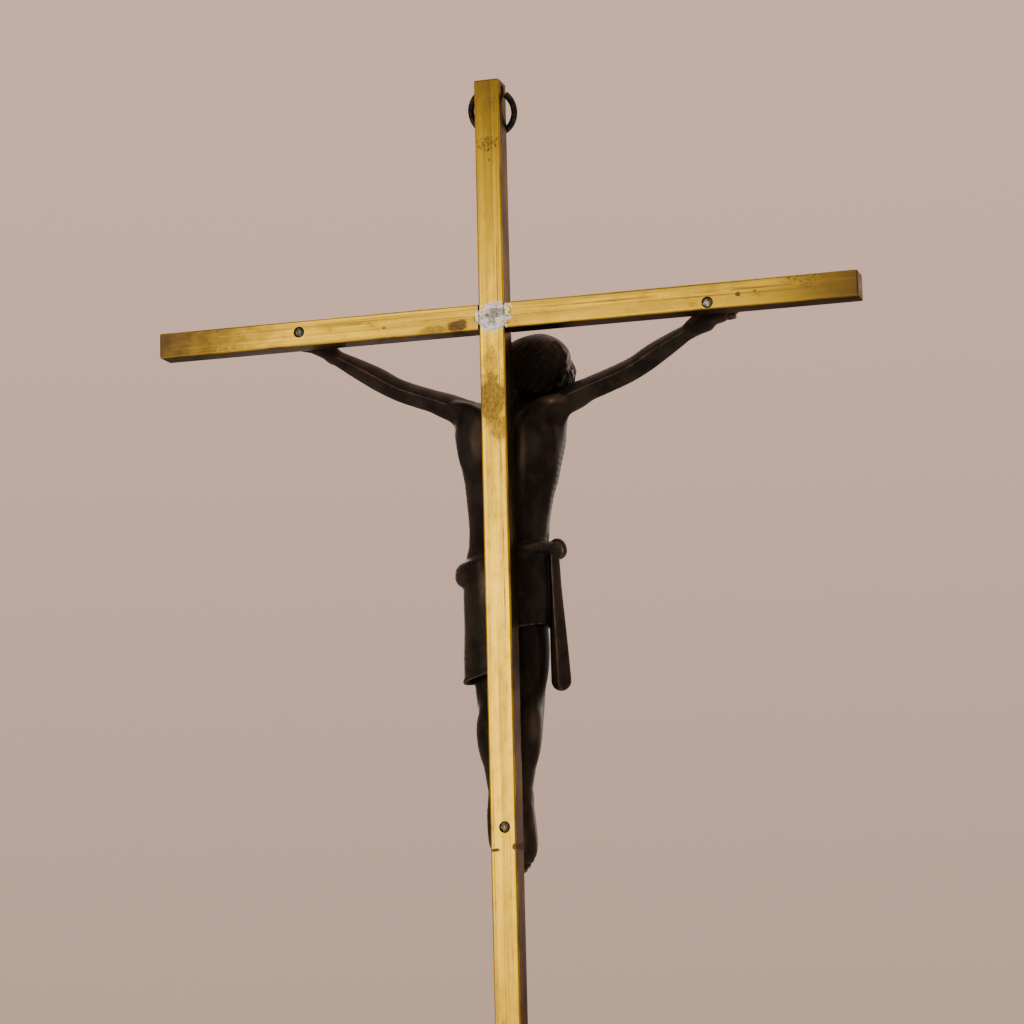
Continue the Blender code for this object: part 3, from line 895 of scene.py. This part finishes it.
def sculpt_figure():
    clay = Clay((-78.0, -1.2, -172.5), (73.0, 26.4, 7.5), FIGURE_STEP)
    trunk(clay)
    neck(clay)
    arms_and_hands(clay)
    legs(clay)
    cloth(clay)
    face(clay)
    beard(clay)
    hair(clay)
    seat(clay, LEFT_PIN, HAND_SEAT)
    seat(clay, RIGHT_PIN, HAND_SEAT)
    seat(clay, FEET_PIN, FEET_SEAT)
    flat_back(clay)
    untangle(clay)
    return clay


def new_piece(name, points, faces, body, node, material, creased=True):
    """A smooth piece in place of a CAD node, from points in mm."""
    mesh = bpy.data.meshes.new(name)
    mesh.from_pydata((np.array(points) * MM).tolist(), [], faces)
    mesh.polygons.foreach_set("use_smooth", [True] * len(mesh.polygons))
    if creased:
        mesh.validate()
        mesh.set_sharp_from_angle(angle=math.radians(40))
    piece = new_object(name, mesh)
    mesh.materials.append(material)
    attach(piece, body)
    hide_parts(node)
    return piece


BEND_REACH = 0.9
SKY_REACHES = (0.8, 1.6, 3.0, 6.0, 10.0)


def wear_of(clay, points):
    """How sharply the surface bends outward at its points, and how hidden they are."""
    away = clay.slope(points)
    bend = sum(clay.sample(points + BEND_REACH * sign * axis) for axis in AXES for sign in (-1, 1))
    bend -= clay.sample(points + BEND_REACH * away) + clay.sample(points - BEND_REACH * away)
    bend = (bend - 4 * clay.sample(points)) / BEND_REACH ** 2
    open_sky = [np.clip(clay.sample(points + away * reach) / reach, 0, 1) for reach in SKY_REACHES]
    return np.clip(bend * 0.5, 0, 1), 1 - np.mean(open_sky, axis=0)


def add_figure(material):
    clay = sculpt_figure()
    points, quads = largest_body(*net_surface(clay))
    points = relax(points, quads, 2)
    for _ in range(2):
        points -= clay.slope(points) * clay.sample(points)[:, None]
    placed = np.stack([points[:, 0], FRONT_Y - points[:, 1], CROSSING_UP + points[:, 2]], axis=1)
    figure = new_piece("corpus_cast", placed, quads[:, ::-1].tolist(), "cross", "corpus",
                       material, creased=False)
    for name, values in zip(("worn", "hollow"), wear_of(clay, points)):
        layer = figure.data.attributes.new(name, "FLOAT", "POINT")
        layer.data.foreach_set("value", values.astype(np.float32))
    figure.data.update()


# ---- small pieces

def stacked_faces(rows, sides):
    """Faces between rings of points that follow each other, with a fan at each end."""
    faces = []
    for row in range(rows - 1):
        for side in range(sides):
            a = row * sides + side
            b = row * sides + (side + 1) % sides
            faces.append((a, b, b + sides, a + sides))
    faces.append(tuple(range(sides))[::-1])
    faces.append(tuple(range((rows - 1) * sides, rows * sides)))
    return faces


# pin head: radius and height in mm, from the top of the dome round under its rim
PIN_HEAD = [(0.25, 1.1), (0.75, 1.05), (1.25, 0.91), (1.7, 0.68), (2.02, 0.42), (2.17, 0.2),
            (2.2, 0.25), (2.12, 0.1), (1.45, 0.1)]
PIN_SIDES = 40


def add_pin(node, at, seat, tail, material):
    """A round pin with a hammered dome in front and a filed tail behind."""
    top = BAR + seat
    profile = [(radius, top + height) for radius, height in PIN_HEAD] + [(1.45, 0.4)] + tail
    points = []
    for radius, depth in profile:
        for side in range(PIN_SIDES):
            turn = math.tau * side / PIN_SIDES
            dent = 0.05 * math.sin(2 * turn + radius * 2.1 + at[0]) * math.sin(1.3 + 2.2 * radius)
            dent += 0.03 * math.sin(5 * turn + radius * 3.7 + at[1])
            lift = dent if depth > top + 0.3 else 0.0
            lift += dent * 0.6 if depth < 0.35 else 0.0
            out = radius * (1.0 + 0.25 * dent)
            points.append((at[0] + out * math.cos(turn), -max(0.02, depth - lift),
                           CROSSING_UP + at[1] + out * math.sin(turn)))
    faces = stacked_faces(len(profile), PIN_SIDES)
    new_piece(node + "_turned", points, faces, "cross", node, material)


SOLDER_CENTRE = (-0.7, -0.4)
SOLDER_HALF = (6.1, 3.8)
SOLDER_DEPTH = 0.35
SOLDER_INSET = 0.02


def add_solder(material):
    """A smear of solder in its recess, its back face lumpy and just under the bars' faces."""
    sides, rings = 96, 22
    points = []
    for ring in range(rings + 1):
        reach = 1.0 - ring / (rings + 0.5)
        for side in range(sides):
            turn = math.tau * side / sides
            swell = 1.0 + 0.07 * math.sin(3 * turn + 0.6) + 0.05 * math.sin(5 * turn + 2.1)
            x = (SOLDER_HALF[0] * swell - SOLDER_INSET) * reach * math.cos(turn)
            z = (SOLDER_HALF[1] * swell - SOLDER_INSET) * reach * math.sin(turn)
            lump = noise.fractal(Vector((x * 0.55, z * 0.55, 3.0)), 0.8, 2.0, 4)
            pit = max(0.0, noise.noise(Vector((x * 1.3, z * 1.3, 8.0))) - 0.25)
            inside = min(1.0, (1.0 - reach) * 6.0)
            depth = SOLDER_INSET + inside * (0.03 + 0.05 * (0.5 - lump) + 0.22 * pit)
            points.append((SOLDER_CENTRE[0] + x, -min(0.3, max(SOLDER_INSET, depth)),
                           CROSSING_UP + SOLDER_CENTRE[1] + z))
    bottom = [(x, -SOLDER_DEPTH + 0.03, z) for x, _, z in points[:sides]]
    faces = stacked_faces(rings + 2, sides)
    new_piece("crossing_solder_smear", bottom + points, faces, "cross", "crossing_solder",
              material)


# the ring in mm and degrees: how far its middle hangs below the bore, its lean to the front, and
# where its two ends are, counted round it from the -x side
RING_RADIUS = 6.9
RING_DROP = 6.15
RING_TILT = 25.0
RING_ENDS = (-46.0, 290.0)
WIRE_RADIUS = 1.04
WIRE_BEVEL = 0.08


def add_ring(material):
    """The bent wire: a flat loop that hangs from the bore, with two sawn ends."""
    tilt = math.radians(RING_TILT)
    across, down = Vector((1.0, 0.0, 0.0)), Vector((0.0, -math.sin(tilt), -math.cos(tilt)))
    side_axis = across.cross(down)
    start, end = [math.radians(angle) for angle in RING_ENDS]
    stations, sides = ((132, 24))
    points = []
    for station in range(-1, stations + 2):
        turn = start + (end - start) * min(max(station, 0), stations) / stations
        out = across * -math.cos(turn) + down * math.sin(turn)
        along = across * math.sin(turn) + down * math.cos(turn)
        girth = WIRE_RADIUS + 0.006 * math.sin(23 * turn) + 0.004 * math.sin(41 * turn + 1)
        centre = down * RING_DROP + out * RING_RADIUS
        if station == 0:
            centre += along * WIRE_BEVEL
        if station == stations:
            centre -= along * WIRE_BEVEL
        if station in (-1, stations + 1):
            girth -= WIRE_BEVEL
        for side in range(sides):
            around = math.tau * side / sides
            place = centre + (out * math.cos(around) + side_axis * math.sin(around)) * girth
            points.append((place.x, -BAR / 2 + place.y, place.z))
    faces = stacked_faces(stations + 3, sides)
    new_piece("hanging_ring_wire", points, faces, "ring", "hanging_ring", material)


# ---- materials

class Value:
    """What a node gives out. Arithmetic on it adds the nodes that work it out."""

    def __init__(self, nodes, socket):
        self.nodes = nodes
        self.socket = socket

    def __add__(self, other):
        return self.nodes.math("ADD", self, other)

    def __sub__(self, other):
        return self.nodes.math("SUBTRACT", self, other)

    def __rsub__(self, other):
        return self.nodes.math("SUBTRACT", other, self)

    def __mul__(self, other):
        return self.nodes.math("MULTIPLY", self, other)

    def __truediv__(self, other):
        return self.nodes.math("DIVIDE", self, other)

    def __abs__(self):
        return self.nodes.math("ABSOLUTE", self)

    def most(self, other):
        return self.nodes.math("MAXIMUM", self, other)

    def least(self, other):
        return self.nodes.math("MINIMUM", self, other)

    def ramp(self, low, high, start=0.0, end=1.0):
        """A smooth step from start, where this is low, to end, where this is high."""
        values = {"Value": self, "From Min": low, "From Max": high, "To Min": start, "To Max": end}
        return self.nodes.node("ShaderNodeMapRange", "Result", values, interpolation_type="SMOOTHSTEP")

    def mix(self, a, b):
        """Colour a where this is 0 and colour b where this is 1."""
        return self.nodes.node("ShaderNodeMix", 2, {0: self, 6: a, 7: b}, data_type="RGBA")


class Nodes:
    """Builds a node tree."""

    def __init__(self, tree):
        self.tree = tree

    def put(self, socket, value):
        if isinstance(value, Value):
            self.tree.links.new(value.socket, socket)
        elif socket.type == "RGBA" and len(value) == 3:
            socket.default_value = (*value, 1.0)
        else:
            socket.default_value = value

    def node(self, kind, output, values, **settings):
        node = self.tree.nodes.new(kind)
        for name, value in settings.items():
            setattr(node, name, value)
        for name, value in values.items():
            self.put(node.inputs[name], value)
        return Value(self, node.outputs[output])

    def math(self, operation, *values):
        return self.node("ShaderNodeMath", 0, dict(enumerate(values)), operation=operation)

    def coordinates(self, kind):
        return self.node("ShaderNodeTexCoord", kind, {})

    def split(self, vector):
        first = self.node("ShaderNodeSeparateXYZ", 0, {"Vector": vector})
        return [Value(self, output) for output in first.socket.node.outputs]


class Recipe(Nodes):
    """A material whose patterns are measured in mm from the object's origin."""

    def __init__(self, name):
        self.material = bpy.data.materials.new(name)
        self.material.use_nodes = True
        super().__init__(self.material.node_tree)
        self.shader = self.tree.nodes["Principled BSDF"]
        scaled = {0: self.coordinates("Object"), "Scale": 1 / MM}
        self.place = self.node("ShaderNodeVectorMath", 0, scaled, operation="SCALE")

    def noise(self, size, detail=3.0, roughness=0.55, shift=0.0):
        """Noise from 0 to 1 with features about size mm long, given once or for each axis."""
        lengths = [size] * 3 if isinstance(size, float) else size
        mapping = {"Vector": self.place, "Location": (shift, 1.7 * shift, 2.3 * shift),
                   "Scale": [1 / length for length in lengths]}
        values = {"Vector": self.node("ShaderNodeMapping", 0, mapping), "Scale": 1.0,
                  "Detail": detail, "Roughness": roughness}
        return self.node("ShaderNodeTexNoise", "Fac", values)

    def bump(self, layers):
        """Stacks heights, each with its depth in mm, into one normal."""
        normal = None
        for height, depth in layers:
            values = {"Height": height, "Strength": 1.0, "Distance": depth * MM}
            if normal:
                values["Normal"] = normal
            normal = self.node("ShaderNodeBump", "Normal", values)
        return normal

    def finish(self, **inputs):
        for name, value in inputs.items():
            self.put(self.shader.inputs[name.replace("_", " ").title().replace("Ior", "IOR")], value)
        return self.material


def near(values, centre, radii, ragged, width=0.3, tearing=2.6):
    """1 inside an oval patch about centre, falling to 0 over a ragged rim."""
    one, two = [(value - middle) / radius for value, middle, radius in zip(values, centre, radii)]
    away = one.nodes.math("SQRT", one * one + two * two)
    return (away + ragged * tearing - 0.5 * tearing).ramp(1.0 - width, 1.0 + width, 1.0, 0.0)


BRASS = (0.86, 0.490, 0.016)
PALE_BRASS = (1.0, 0.610, 0.014)
DULL_BRASS = (0.52, 0.298, 0.020)
BROWN = (0.125, 0.074, 0.038)
SIDE_BROWN = (0.040, 0.032, 0.018)
SIDE_BRASS = (0.082, 0.067, 0.038)
SIDE_STREAK = (0.17, 0.110, 0.040)
SAWN_DARK = (0.09, 0.07, 0.05)
SAWN_PALE = (0.19, 0.15, 0.11)
TIN = (0.70, 0.58, 0.46)
BRIGHT_TIN = (0.96, 0.86, 0.73)
DARK_TIN = (0.20, 0.160, 0.130)
GREY_TIN = (0.46, 0.39, 0.33)
JOINT_DIRT = (0.10, 0.07, 0.045)


def tinning(recipe):
    """Where solder wets the metal round the crossing, and its colour there."""
    x, _, z = recipe.split(recipe.place)
    blotch = recipe.noise(2.3, detail=4.0, shift=8.0)
    fine = recipe.noise(0.35, shift=1.0)
    streak = recipe.noise((0.5, 0.5, 1.8), detail=4.0, roughness=0.7, shift=15.0)
    spread = near((x, z), (-0.6, CROSSING_UP + 0.1), (5.5, 4.5), blotch, 0.06, 1.8)
    middle = near((x, z), (-0.9, CROSSING_UP + 0.4), (3.5, 2.3), blotch, 0.30, 3.4)
    color = fine.ramp(0.30, 0.60).mix(TIN, BRIGHT_TIN)
    color = (middle * 0.9).mix(color, streak.ramp(0.42, 0.60).mix(DARK_TIN, GREY_TIN))
    joint = abs(abs(x) - BAR / 2) + fine * 0.3 - 0.15
    return spread, joint.ramp(0.05, 0.22, 0.85, 0.0).mix(color, JOINT_DIRT)


def brass(name, along, stains, darker_ends, scored_line, dullness):
    """Drawn brass bar: bright back and front, oxidised sides, grain along it, wear and a painted
    highlight along its edges, darker toward its ends.
    """
    recipe = Recipe(name)
    x, y, z = recipe.split(recipe.place)
    length, sideways = (z, x) if along == 2 else (x, z - CROSSING_UP)

    def grained(fine, coarse, **settings):
        size = [fine, fine, fine]
        size[along] = coarse
        return recipe.noise(size, **settings)

    hair = grained(0.16, 26.0, detail=2.0)
    lines = grained(0.75, 120.0, roughness=0.65, shift=4.0)
    band = grained(2.6, 46.0, detail=2.0, shift=9.0)
    cloud = grained(8.0, 22.0, detail=4.0, shift=2.0)
    blotch = grained(3.0, 5.0, detail=6.0, roughness=0.68, shift=6.0)
    speck = grained(0.7, 1.3, detail=6.0, roughness=0.78, shift=3.0)
    scratch = grained(0.34, 90.0, detail=2.0, roughness=0.6, shift=12.0)

    normal = recipe.split(recipe.coordinates("Normal"))
    flat = abs(normal[1]).ramp(0.35, 0.80)
    edge_closeness = abs(y + BAR / 2).least(abs(sideways)) + blotch * 0.9 - 0.45
    rim = edge_closeness.ramp(3.60, 3.92)

    tone = lines * 0.55 + band * 0.45
    color = tone.ramp(0.32 + dullness, 0.62 + dullness).mix(DULL_BRASS, BRASS)
    color = (cloud * lines).ramp(0.24 + dullness, 0.42 + dullness).mix(color, PALE_BRASS)
    dirt_and_darker_ends = blotch.ramp(0.60, 0.78, 0.0, 0.45)
    dirt_and_darker_ends = dirt_and_darker_ends.most(scratch.ramp(0.61 - dullness / 2, 0.72 - dullness / 2, 0.0, 0.6))
    # darker toward the bars' ends, from the first place given to the second
    for low, high, strength in darker_ends:
        dirt_and_darker_ends = dirt_and_darker_ends.most((length + blotch * 26.0 - 13.0).ramp(low, high, 0.0, strength))
    for centre, radii, strength, grain in stains:
        patch = near((sideways, length), centre, radii, blotch)
        dirt_and_darker_ends = dirt_and_darker_ends.most(patch * speck.ramp(0.40, 0.62, 1.0 - grain, 1.0) * strength)
    dirt_and_darker_ends = dirt_and_darker_ends.most(speck.ramp(0.76, 0.82, 0.0, 0.75))
    scored = (abs(sideways - scored_line) + band * 1.2 - 0.6).ramp(0.10, 0.32, 1.0, 0.0)
    dirt_and_darker_ends = dirt_and_darker_ends.most(scored * cloud.ramp(0.42, 0.6) * 0.6)
    dirt_and_darker_ends = dirt_and_darker_ends.most(rim * cloud.ramp(0.36, 0.55, 0.8, 0.12))
    color = dirt_and_darker_ends.mix(color, BROWN)

    oxide = cloud.ramp(0.35, 0.68).mix(SIDE_BROWN, SIDE_BRASS)
    oxide = lines.ramp(0.5, 0.72, 0.0, 0.35).mix(oxide, SIDE_STREAK)
    sawn = blotch.ramp(0.4, 0.65).mix(SAWN_DARK, SAWN_PALE)
    color = flat.mix(abs(normal[along]).ramp(0.4, 0.8).mix(oxide, sawn), color)
    # edge wear and painted highlight: pale brass laid in a band along the rounded edges, where light
    # catches them
    edge_wear_and_highlight = edge_closeness.ramp(3.35, 3.85) * (1.0 - rim) * cloud.ramp(0.35, 0.6, 0.15, 0.8)
    color = edge_wear_and_highlight.mix(color, PALE_BRASS)
    tinned, tin = tinning(recipe)
    tinned *= y.ramp(-4.0, -1.0)
    color = (tinned * flat).mix(color, tin)

    rough = hair * 0.16 + dirt_and_darker_ends * 0.22 + tinned * 0.15 + blotch.ramp(0.4, 0.7) * 0.07 + 0.20
    bumps = recipe.bump([(hair, 0.010), (lines, 0.020), (blotch, 0.012)])
    tangent = recipe.node("ShaderNodeTangent", 0, {}, direction_type="RADIAL", axis="XYZ"[along])
    tint = flat.mix((0.40, 0.34, 0.27), (1.0, 1.0, 1.0))
    return recipe.finish(base_color=color, roughness=rough, metallic=flat.ramp(0.0, 1.0, 0.82, 1.0),
                         normal=bumps, tangent=tangent, anisotropic=0.45, specular_tint=tint)


# painted highlights on the figure's back, laid as bare bronze where light glints, in mm: place (x, z),
# half sizes and strength
PAINTED_HIGHLIGHT_SPOTS = [
    ((-5.6, -110.5), (1.3, 6.5), 0.95),
    ((8.4, -107.0), (1.8, 5.5), 0.75),
    ((7.8, -152.0), (1.5, 6.0), 0.75),
    ((-15.2, -96.4), (3.2, 1.2), 0.75),
    ((-7.0, -141.0), (2.6, 1.3), 0.60),
    ((-6.2, -196.0), (1.1, 4.0), 0.45),
    ((-6.3, -224.0), (1.3, 3.0), 0.40),
]
PATINA_DARK = (0.017, 0.0135, 0.0112)
PATINA_BROWN = (0.044, 0.033, 0.0255)
PATINA_RED = (0.075, 0.043, 0.029)
# near-black, for patina in small recesses and for painted shade in deep hollows and at the nape
DEEP_PATINA_AND_SHADE = (0.005, 0.0045, 0.004)
# bare bronze colour, for wear on the high edges and for the painted highlights
BARE_AND_HIGHLIT_BRONZE = (0.25, 0.165, 0.105)


def bronze():
    """Cast figure: near-black patina, reddish in patches, bare and shiny on the high edges, with painted
    highlights in spots on its back and painted shade in its deep hollows and at the nape.
    """
    recipe = Recipe("dark_bronze")
    worn, hollow = [recipe.node("ShaderNodeAttribute", "Fac", {}, attribute_name=name)
                    for name in ("worn", "hollow")]
    cloud = recipe.noise((9.0, 9.0, 13.0), detail=4.0, shift=1.0)
    patch = recipe.noise((3.4, 3.4, 4.6), detail=5.0, roughness=0.62, shift=5.0)
    cast = recipe.noise(0.55, detail=4.0, roughness=0.6, shift=2.0)
    scratch = recipe.noise((0.22, 2.2, 2.6), shift=7.0)
    x, y, z = recipe.split(recipe.place)

    color = cloud.ramp(0.38, 0.64).mix(PATINA_DARK, PATINA_BROWN)
    color = patch.ramp(0.50, 0.76, 0.0, 0.5).mix(color, PATINA_RED)
    bare_and_highlit = (worn + patch * 0.5 - 0.27).ramp(0.28, 0.85)
    # painted highlights: bare bronze colour laid in these spots where light glints, added to the wear on
    # the high edges
    for place, half, strength in PAINTED_HIGHLIGHT_SPOTS:
        highlight_spot = near((x, z), place, half, patch, 0.7, 1.4)
        bare_and_highlit = bare_and_highlit.most(highlight_spot * y.ramp(-18.0, -14.0, 0.0, strength))
    bare_and_highlit *= scratch.ramp(0.25, 0.6, 0.55, 1.0)
    color = (bare_and_highlit * 0.7).mix(color, BARE_AND_HIGHLIT_BRONZE)
    # painted shade: the back of the neck and hair and the deep hollows are darkened where shade falls,
    # over the patina in small recesses
    painted_nape_shade = near((x, z), (-5.0, -88.5), (9.5, 13.5), patch, 0.3, 0.5) * y.ramp(-30.0, -22.0, 0.0, 0.9)
    shade = hollow.ramp(0.10, 0.62).most(painted_nape_shade * worn.ramp(0.1, 0.3, 1.0, 0.6))
    color = shade.mix(color, DEEP_PATINA_AND_SHADE)

    rough = cast * 0.18 + shade * 0.30 - bare_and_highlit * 0.06 + 0.30
    bumps = recipe.bump([(patch, 0.10), (cast, 0.05), (scratch, 0.015)])
    return recipe.finish(base_color=color, roughness=rough, metallic=bare_and_highlit.ramp(0.0, 1.0, 0.35, 0.9),
                         normal=bumps, specular_ior_level=0.32, specular_tint=(0.40, 0.33, 0.27))


def solder():
    """Grey-white solder with a darker dull middle; its thin rim shows the brass."""
    recipe = Recipe("solder")
    blotch = recipe.noise(1.6, detail=5.0, roughness=0.65, shift=3.0)
    fine = recipe.noise(0.3, detail=4.0, shift=1.0)
    filed = recipe.noise((2.4, 0.3, 0.22), detail=2.0, shift=5.0)
    tinned, tin = tinning(recipe)
    color = tinned.mix(blotch.ramp(0.4, 0.6).mix(DULL_BRASS, BRASS), tin)
    bumps = recipe.bump([(blotch, 0.10), (fine, 0.04), (filed, 0.02)])
    return recipe.finish(base_color=color, roughness=blotch * 0.25 + 0.28, metallic=0.95, normal=bumps)


def steel(name, light, dark, dirt_level):
    """Pin metal: bright where it was filed or hammered, with dirt in its dents."""
    recipe = Recipe(name)
    blotch = recipe.noise(0.9, detail=5.0, roughness=0.65, shift=4.0)
    filed = recipe.noise((0.12, 0.8, 1.6), detail=2.0, shift=2.0)
    color = blotch.ramp(dirt_level, dirt_level + 0.22).mix(dark, light)
    bumps = recipe.bump([(blotch, 0.06), (filed, 0.02)])
    return recipe.finish(base_color=color, roughness=blotch * -0.2 + 0.46, metallic=0.95, normal=bumps)


def black_wire():
    """Blackened wire, brown and shiny where it rubs."""
    recipe = Recipe("black_wire")
    cloud = recipe.noise(1.8, detail=4.0, shift=3.0)
    fine = recipe.noise(0.25)
    color = cloud.ramp(0.42, 0.68).mix((0.022, 0.018, 0.015), (0.085, 0.060, 0.042))
    color = fine.ramp(0.62, 0.75, 0.0, 0.5).mix(color, (0.22, 0.16, 0.11))
    return recipe.finish(base_color=color, roughness=fine * 0.22 + 0.26, metallic=0.8,
                         normal=recipe.bump([(cloud, 0.04), (fine, 0.02)]))


def clad(node, material):
    """Gives a CAD node its material."""
    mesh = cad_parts[node].data
    for slot in range(len(mesh.materials)):
        mesh.materials[slot] = material


# ---- stage

def add_backdrop():
    """A pale wall colour behind the object that turns grey on its front side."""
    world = bpy.data.worlds.new("studio")
    bpy.context.scene.world = world
    world.use_nodes = True
    sky = Nodes(world.node_tree)
    _, y, z = sky.split(sky.coordinates("Generated"))
    wall = z.ramp(-0.08, 0.36).mix((0.63, 0.425, 0.325), (0.88, 0.575, 0.455))
    color = y.ramp(-0.45, 0.55).mix(wall, (0.26, 0.235, 0.22))
    sky.put(world.node_tree.nodes["Background"].inputs["Color"], color)


# metres; the front lights stay above the floor
FLOOR_DROP = 0.6


def add_floor():
    half = 9.0
    level = UPRIGHT_LOW[2] - FLOOR_DROP
    mesh = bpy.data.meshes.new("floor")
    mesh.from_pydata([(-half, -half, level), (half, -half, level), (half, half, level),
                      (-half, half, level)], [], [(0, 1, 2, 3)])
    recipe = Recipe("pale_floor")
    grain = recipe.noise(6.0, detail=4.0)
    color = grain.ramp(0.3, 0.7).mix((0.64, 0.67, 0.70), (0.67, 0.70, 0.73))
    mesh.materials.append(recipe.finish(base_color=color, roughness=0.8))
    new_object("floor", mesh)


NEUTRAL = (1.0, 0.98, 0.93)
WARM = (1.0, 0.88, 0.74)
LIGHT_AIM = Vector((0.0, 0.0, -0.16))


def add_light(name, place, size, power, color=NEUTRAL):
    data = bpy.data.lights.new(name, "AREA")
    data.shape = "RECTANGLE"
    data.size, data.size_y = size
    data.energy = power
    data.color = color
    light = new_object(name, data)
    light.location = place
    light.rotation_euler = (LIGHT_AIM - Vector(place)).to_track_quat("-Z", "Y").to_euler()
    light.visible_camera = False


def add_lights():
    add_light("key", (0.50, 1.60, 0.03), (0.80, 0.68), 6.2)
    add_light("side", (-1.4, 0.9, 0.5), (0.9, 0.9), 1.2, WARM)
    add_light("top", (0.0, -1.3, 2.0), (2.4, 2.0), 13.0)
    add_light("front_left", (0.9, -1.6, 0.3), (0.8, 1.2), 11.0)
    add_light("front_right", (-0.9, -1.6, 0.3), (0.8, 1.2), 11.0)


# stains on the bars, in mm: place (across, along), half sizes, strength and graininess; across
# is to the figure's left on the upright and up on the crossbar, along is z or x in the frame
UPRIGHT_STAINS = [
    ((0.0, -17.6), (4.6, 2.2), 0.95, 0.9),
    ((-1.4, -3.6), (3.2, 2.2), 0.80, 0.8),
    ((-0.4, -22.8), (0.32, 0.32), 0.75, 0.0),
    ((0.4, -97.0), (4.6, 8.0), 0.80, 0.3),
    ((-1.6, -106.0), (3.0, 4.5), 0.65, 0.4),
    ((0.6, -86.0), (2.4, 5.0), 0.45, 0.5),
    ((2.9, -233.0), (1.7, 0.45), 0.95, 0.0),
    ((-3.6, -232.0), (0.8, 0.9), 0.9, 0.0),
]
CROSSBAR_STAINS = [
    ((-2.7, 11.0), (2.2, 3.4), 0.95, 0.2),
    ((-2.9, 18.0), (1.2, 5.0), 0.60, 0.4),
    ((-0.2, -76.4), (0.6, 0.7), 0.85, 0.0),
    ((0.3, -81.6), (0.45, 0.55), 0.8, 0.0),
    ((-0.8, 34.5), (0.5, 0.7), 0.7, 0.0),
    ((-2.8, 90.0), (2.0, 9.0), 0.75, 0.6),
    ((2.4, -99.0), (2.4, 8.0), 0.8, 0.7),
    ((-1.5, -104.0), (3.0, 6.0), 0.7, 0.8),
]
# darker toward an end: none at the first place along the bar, full at the second, strength
END_DARKENING = [(60.0, 114.0, 0.88), (-74.0, -118.0, 0.85)]
UPRIGHT_END_DARKENING = [(-40.0, 8.0, 0.62), (-330.0, -392.0, 0.6)]


def main():
    add_camera()
    add_backdrop()
    add_floor()
    add_lights()
    clad("upright_bar", brass("upright_brass", 2, UPRIGHT_STAINS, UPRIGHT_END_DARKENING, -2.2, 0.0))
    clad("crossbar", brass("crossbar_brass", 0, CROSSBAR_STAINS, END_DARKENING, 1.3, 0.09))
    add_figure(bronze())
    add_solder(solder())
    add_ring(black_wire())
    silver = steel("pin_silver", (0.44, 0.37, 0.31), (0.13, 0.10, 0.08), 0.42)
    grey = steel("pin_grey", (0.21, 0.175, 0.145), (0.07, 0.058, 0.048), 0.42)
    round_tail = [(1.38, 0.16), (1.1, 0.07), (0.6, 0.03), (0.2, 0.02)]
    flat_tail = [(1.40, 0.14), (1.25, 0.06), (0.7, 0.05), (0.2, 0.05)]
    add_pin("nail_left_hand", LEFT_PIN, HAND_SEAT, flat_tail, grey)
    add_pin("nail_right_hand", RIGHT_PIN, HAND_SEAT, round_tail, silver)
    brown = steel("pin_brown", (0.30, 0.205, 0.140), (0.09, 0.060, 0.040), 0.44)
    add_pin("nail_feet", FEET_PIN, FEET_SEAT, round_tail, brown)


main()
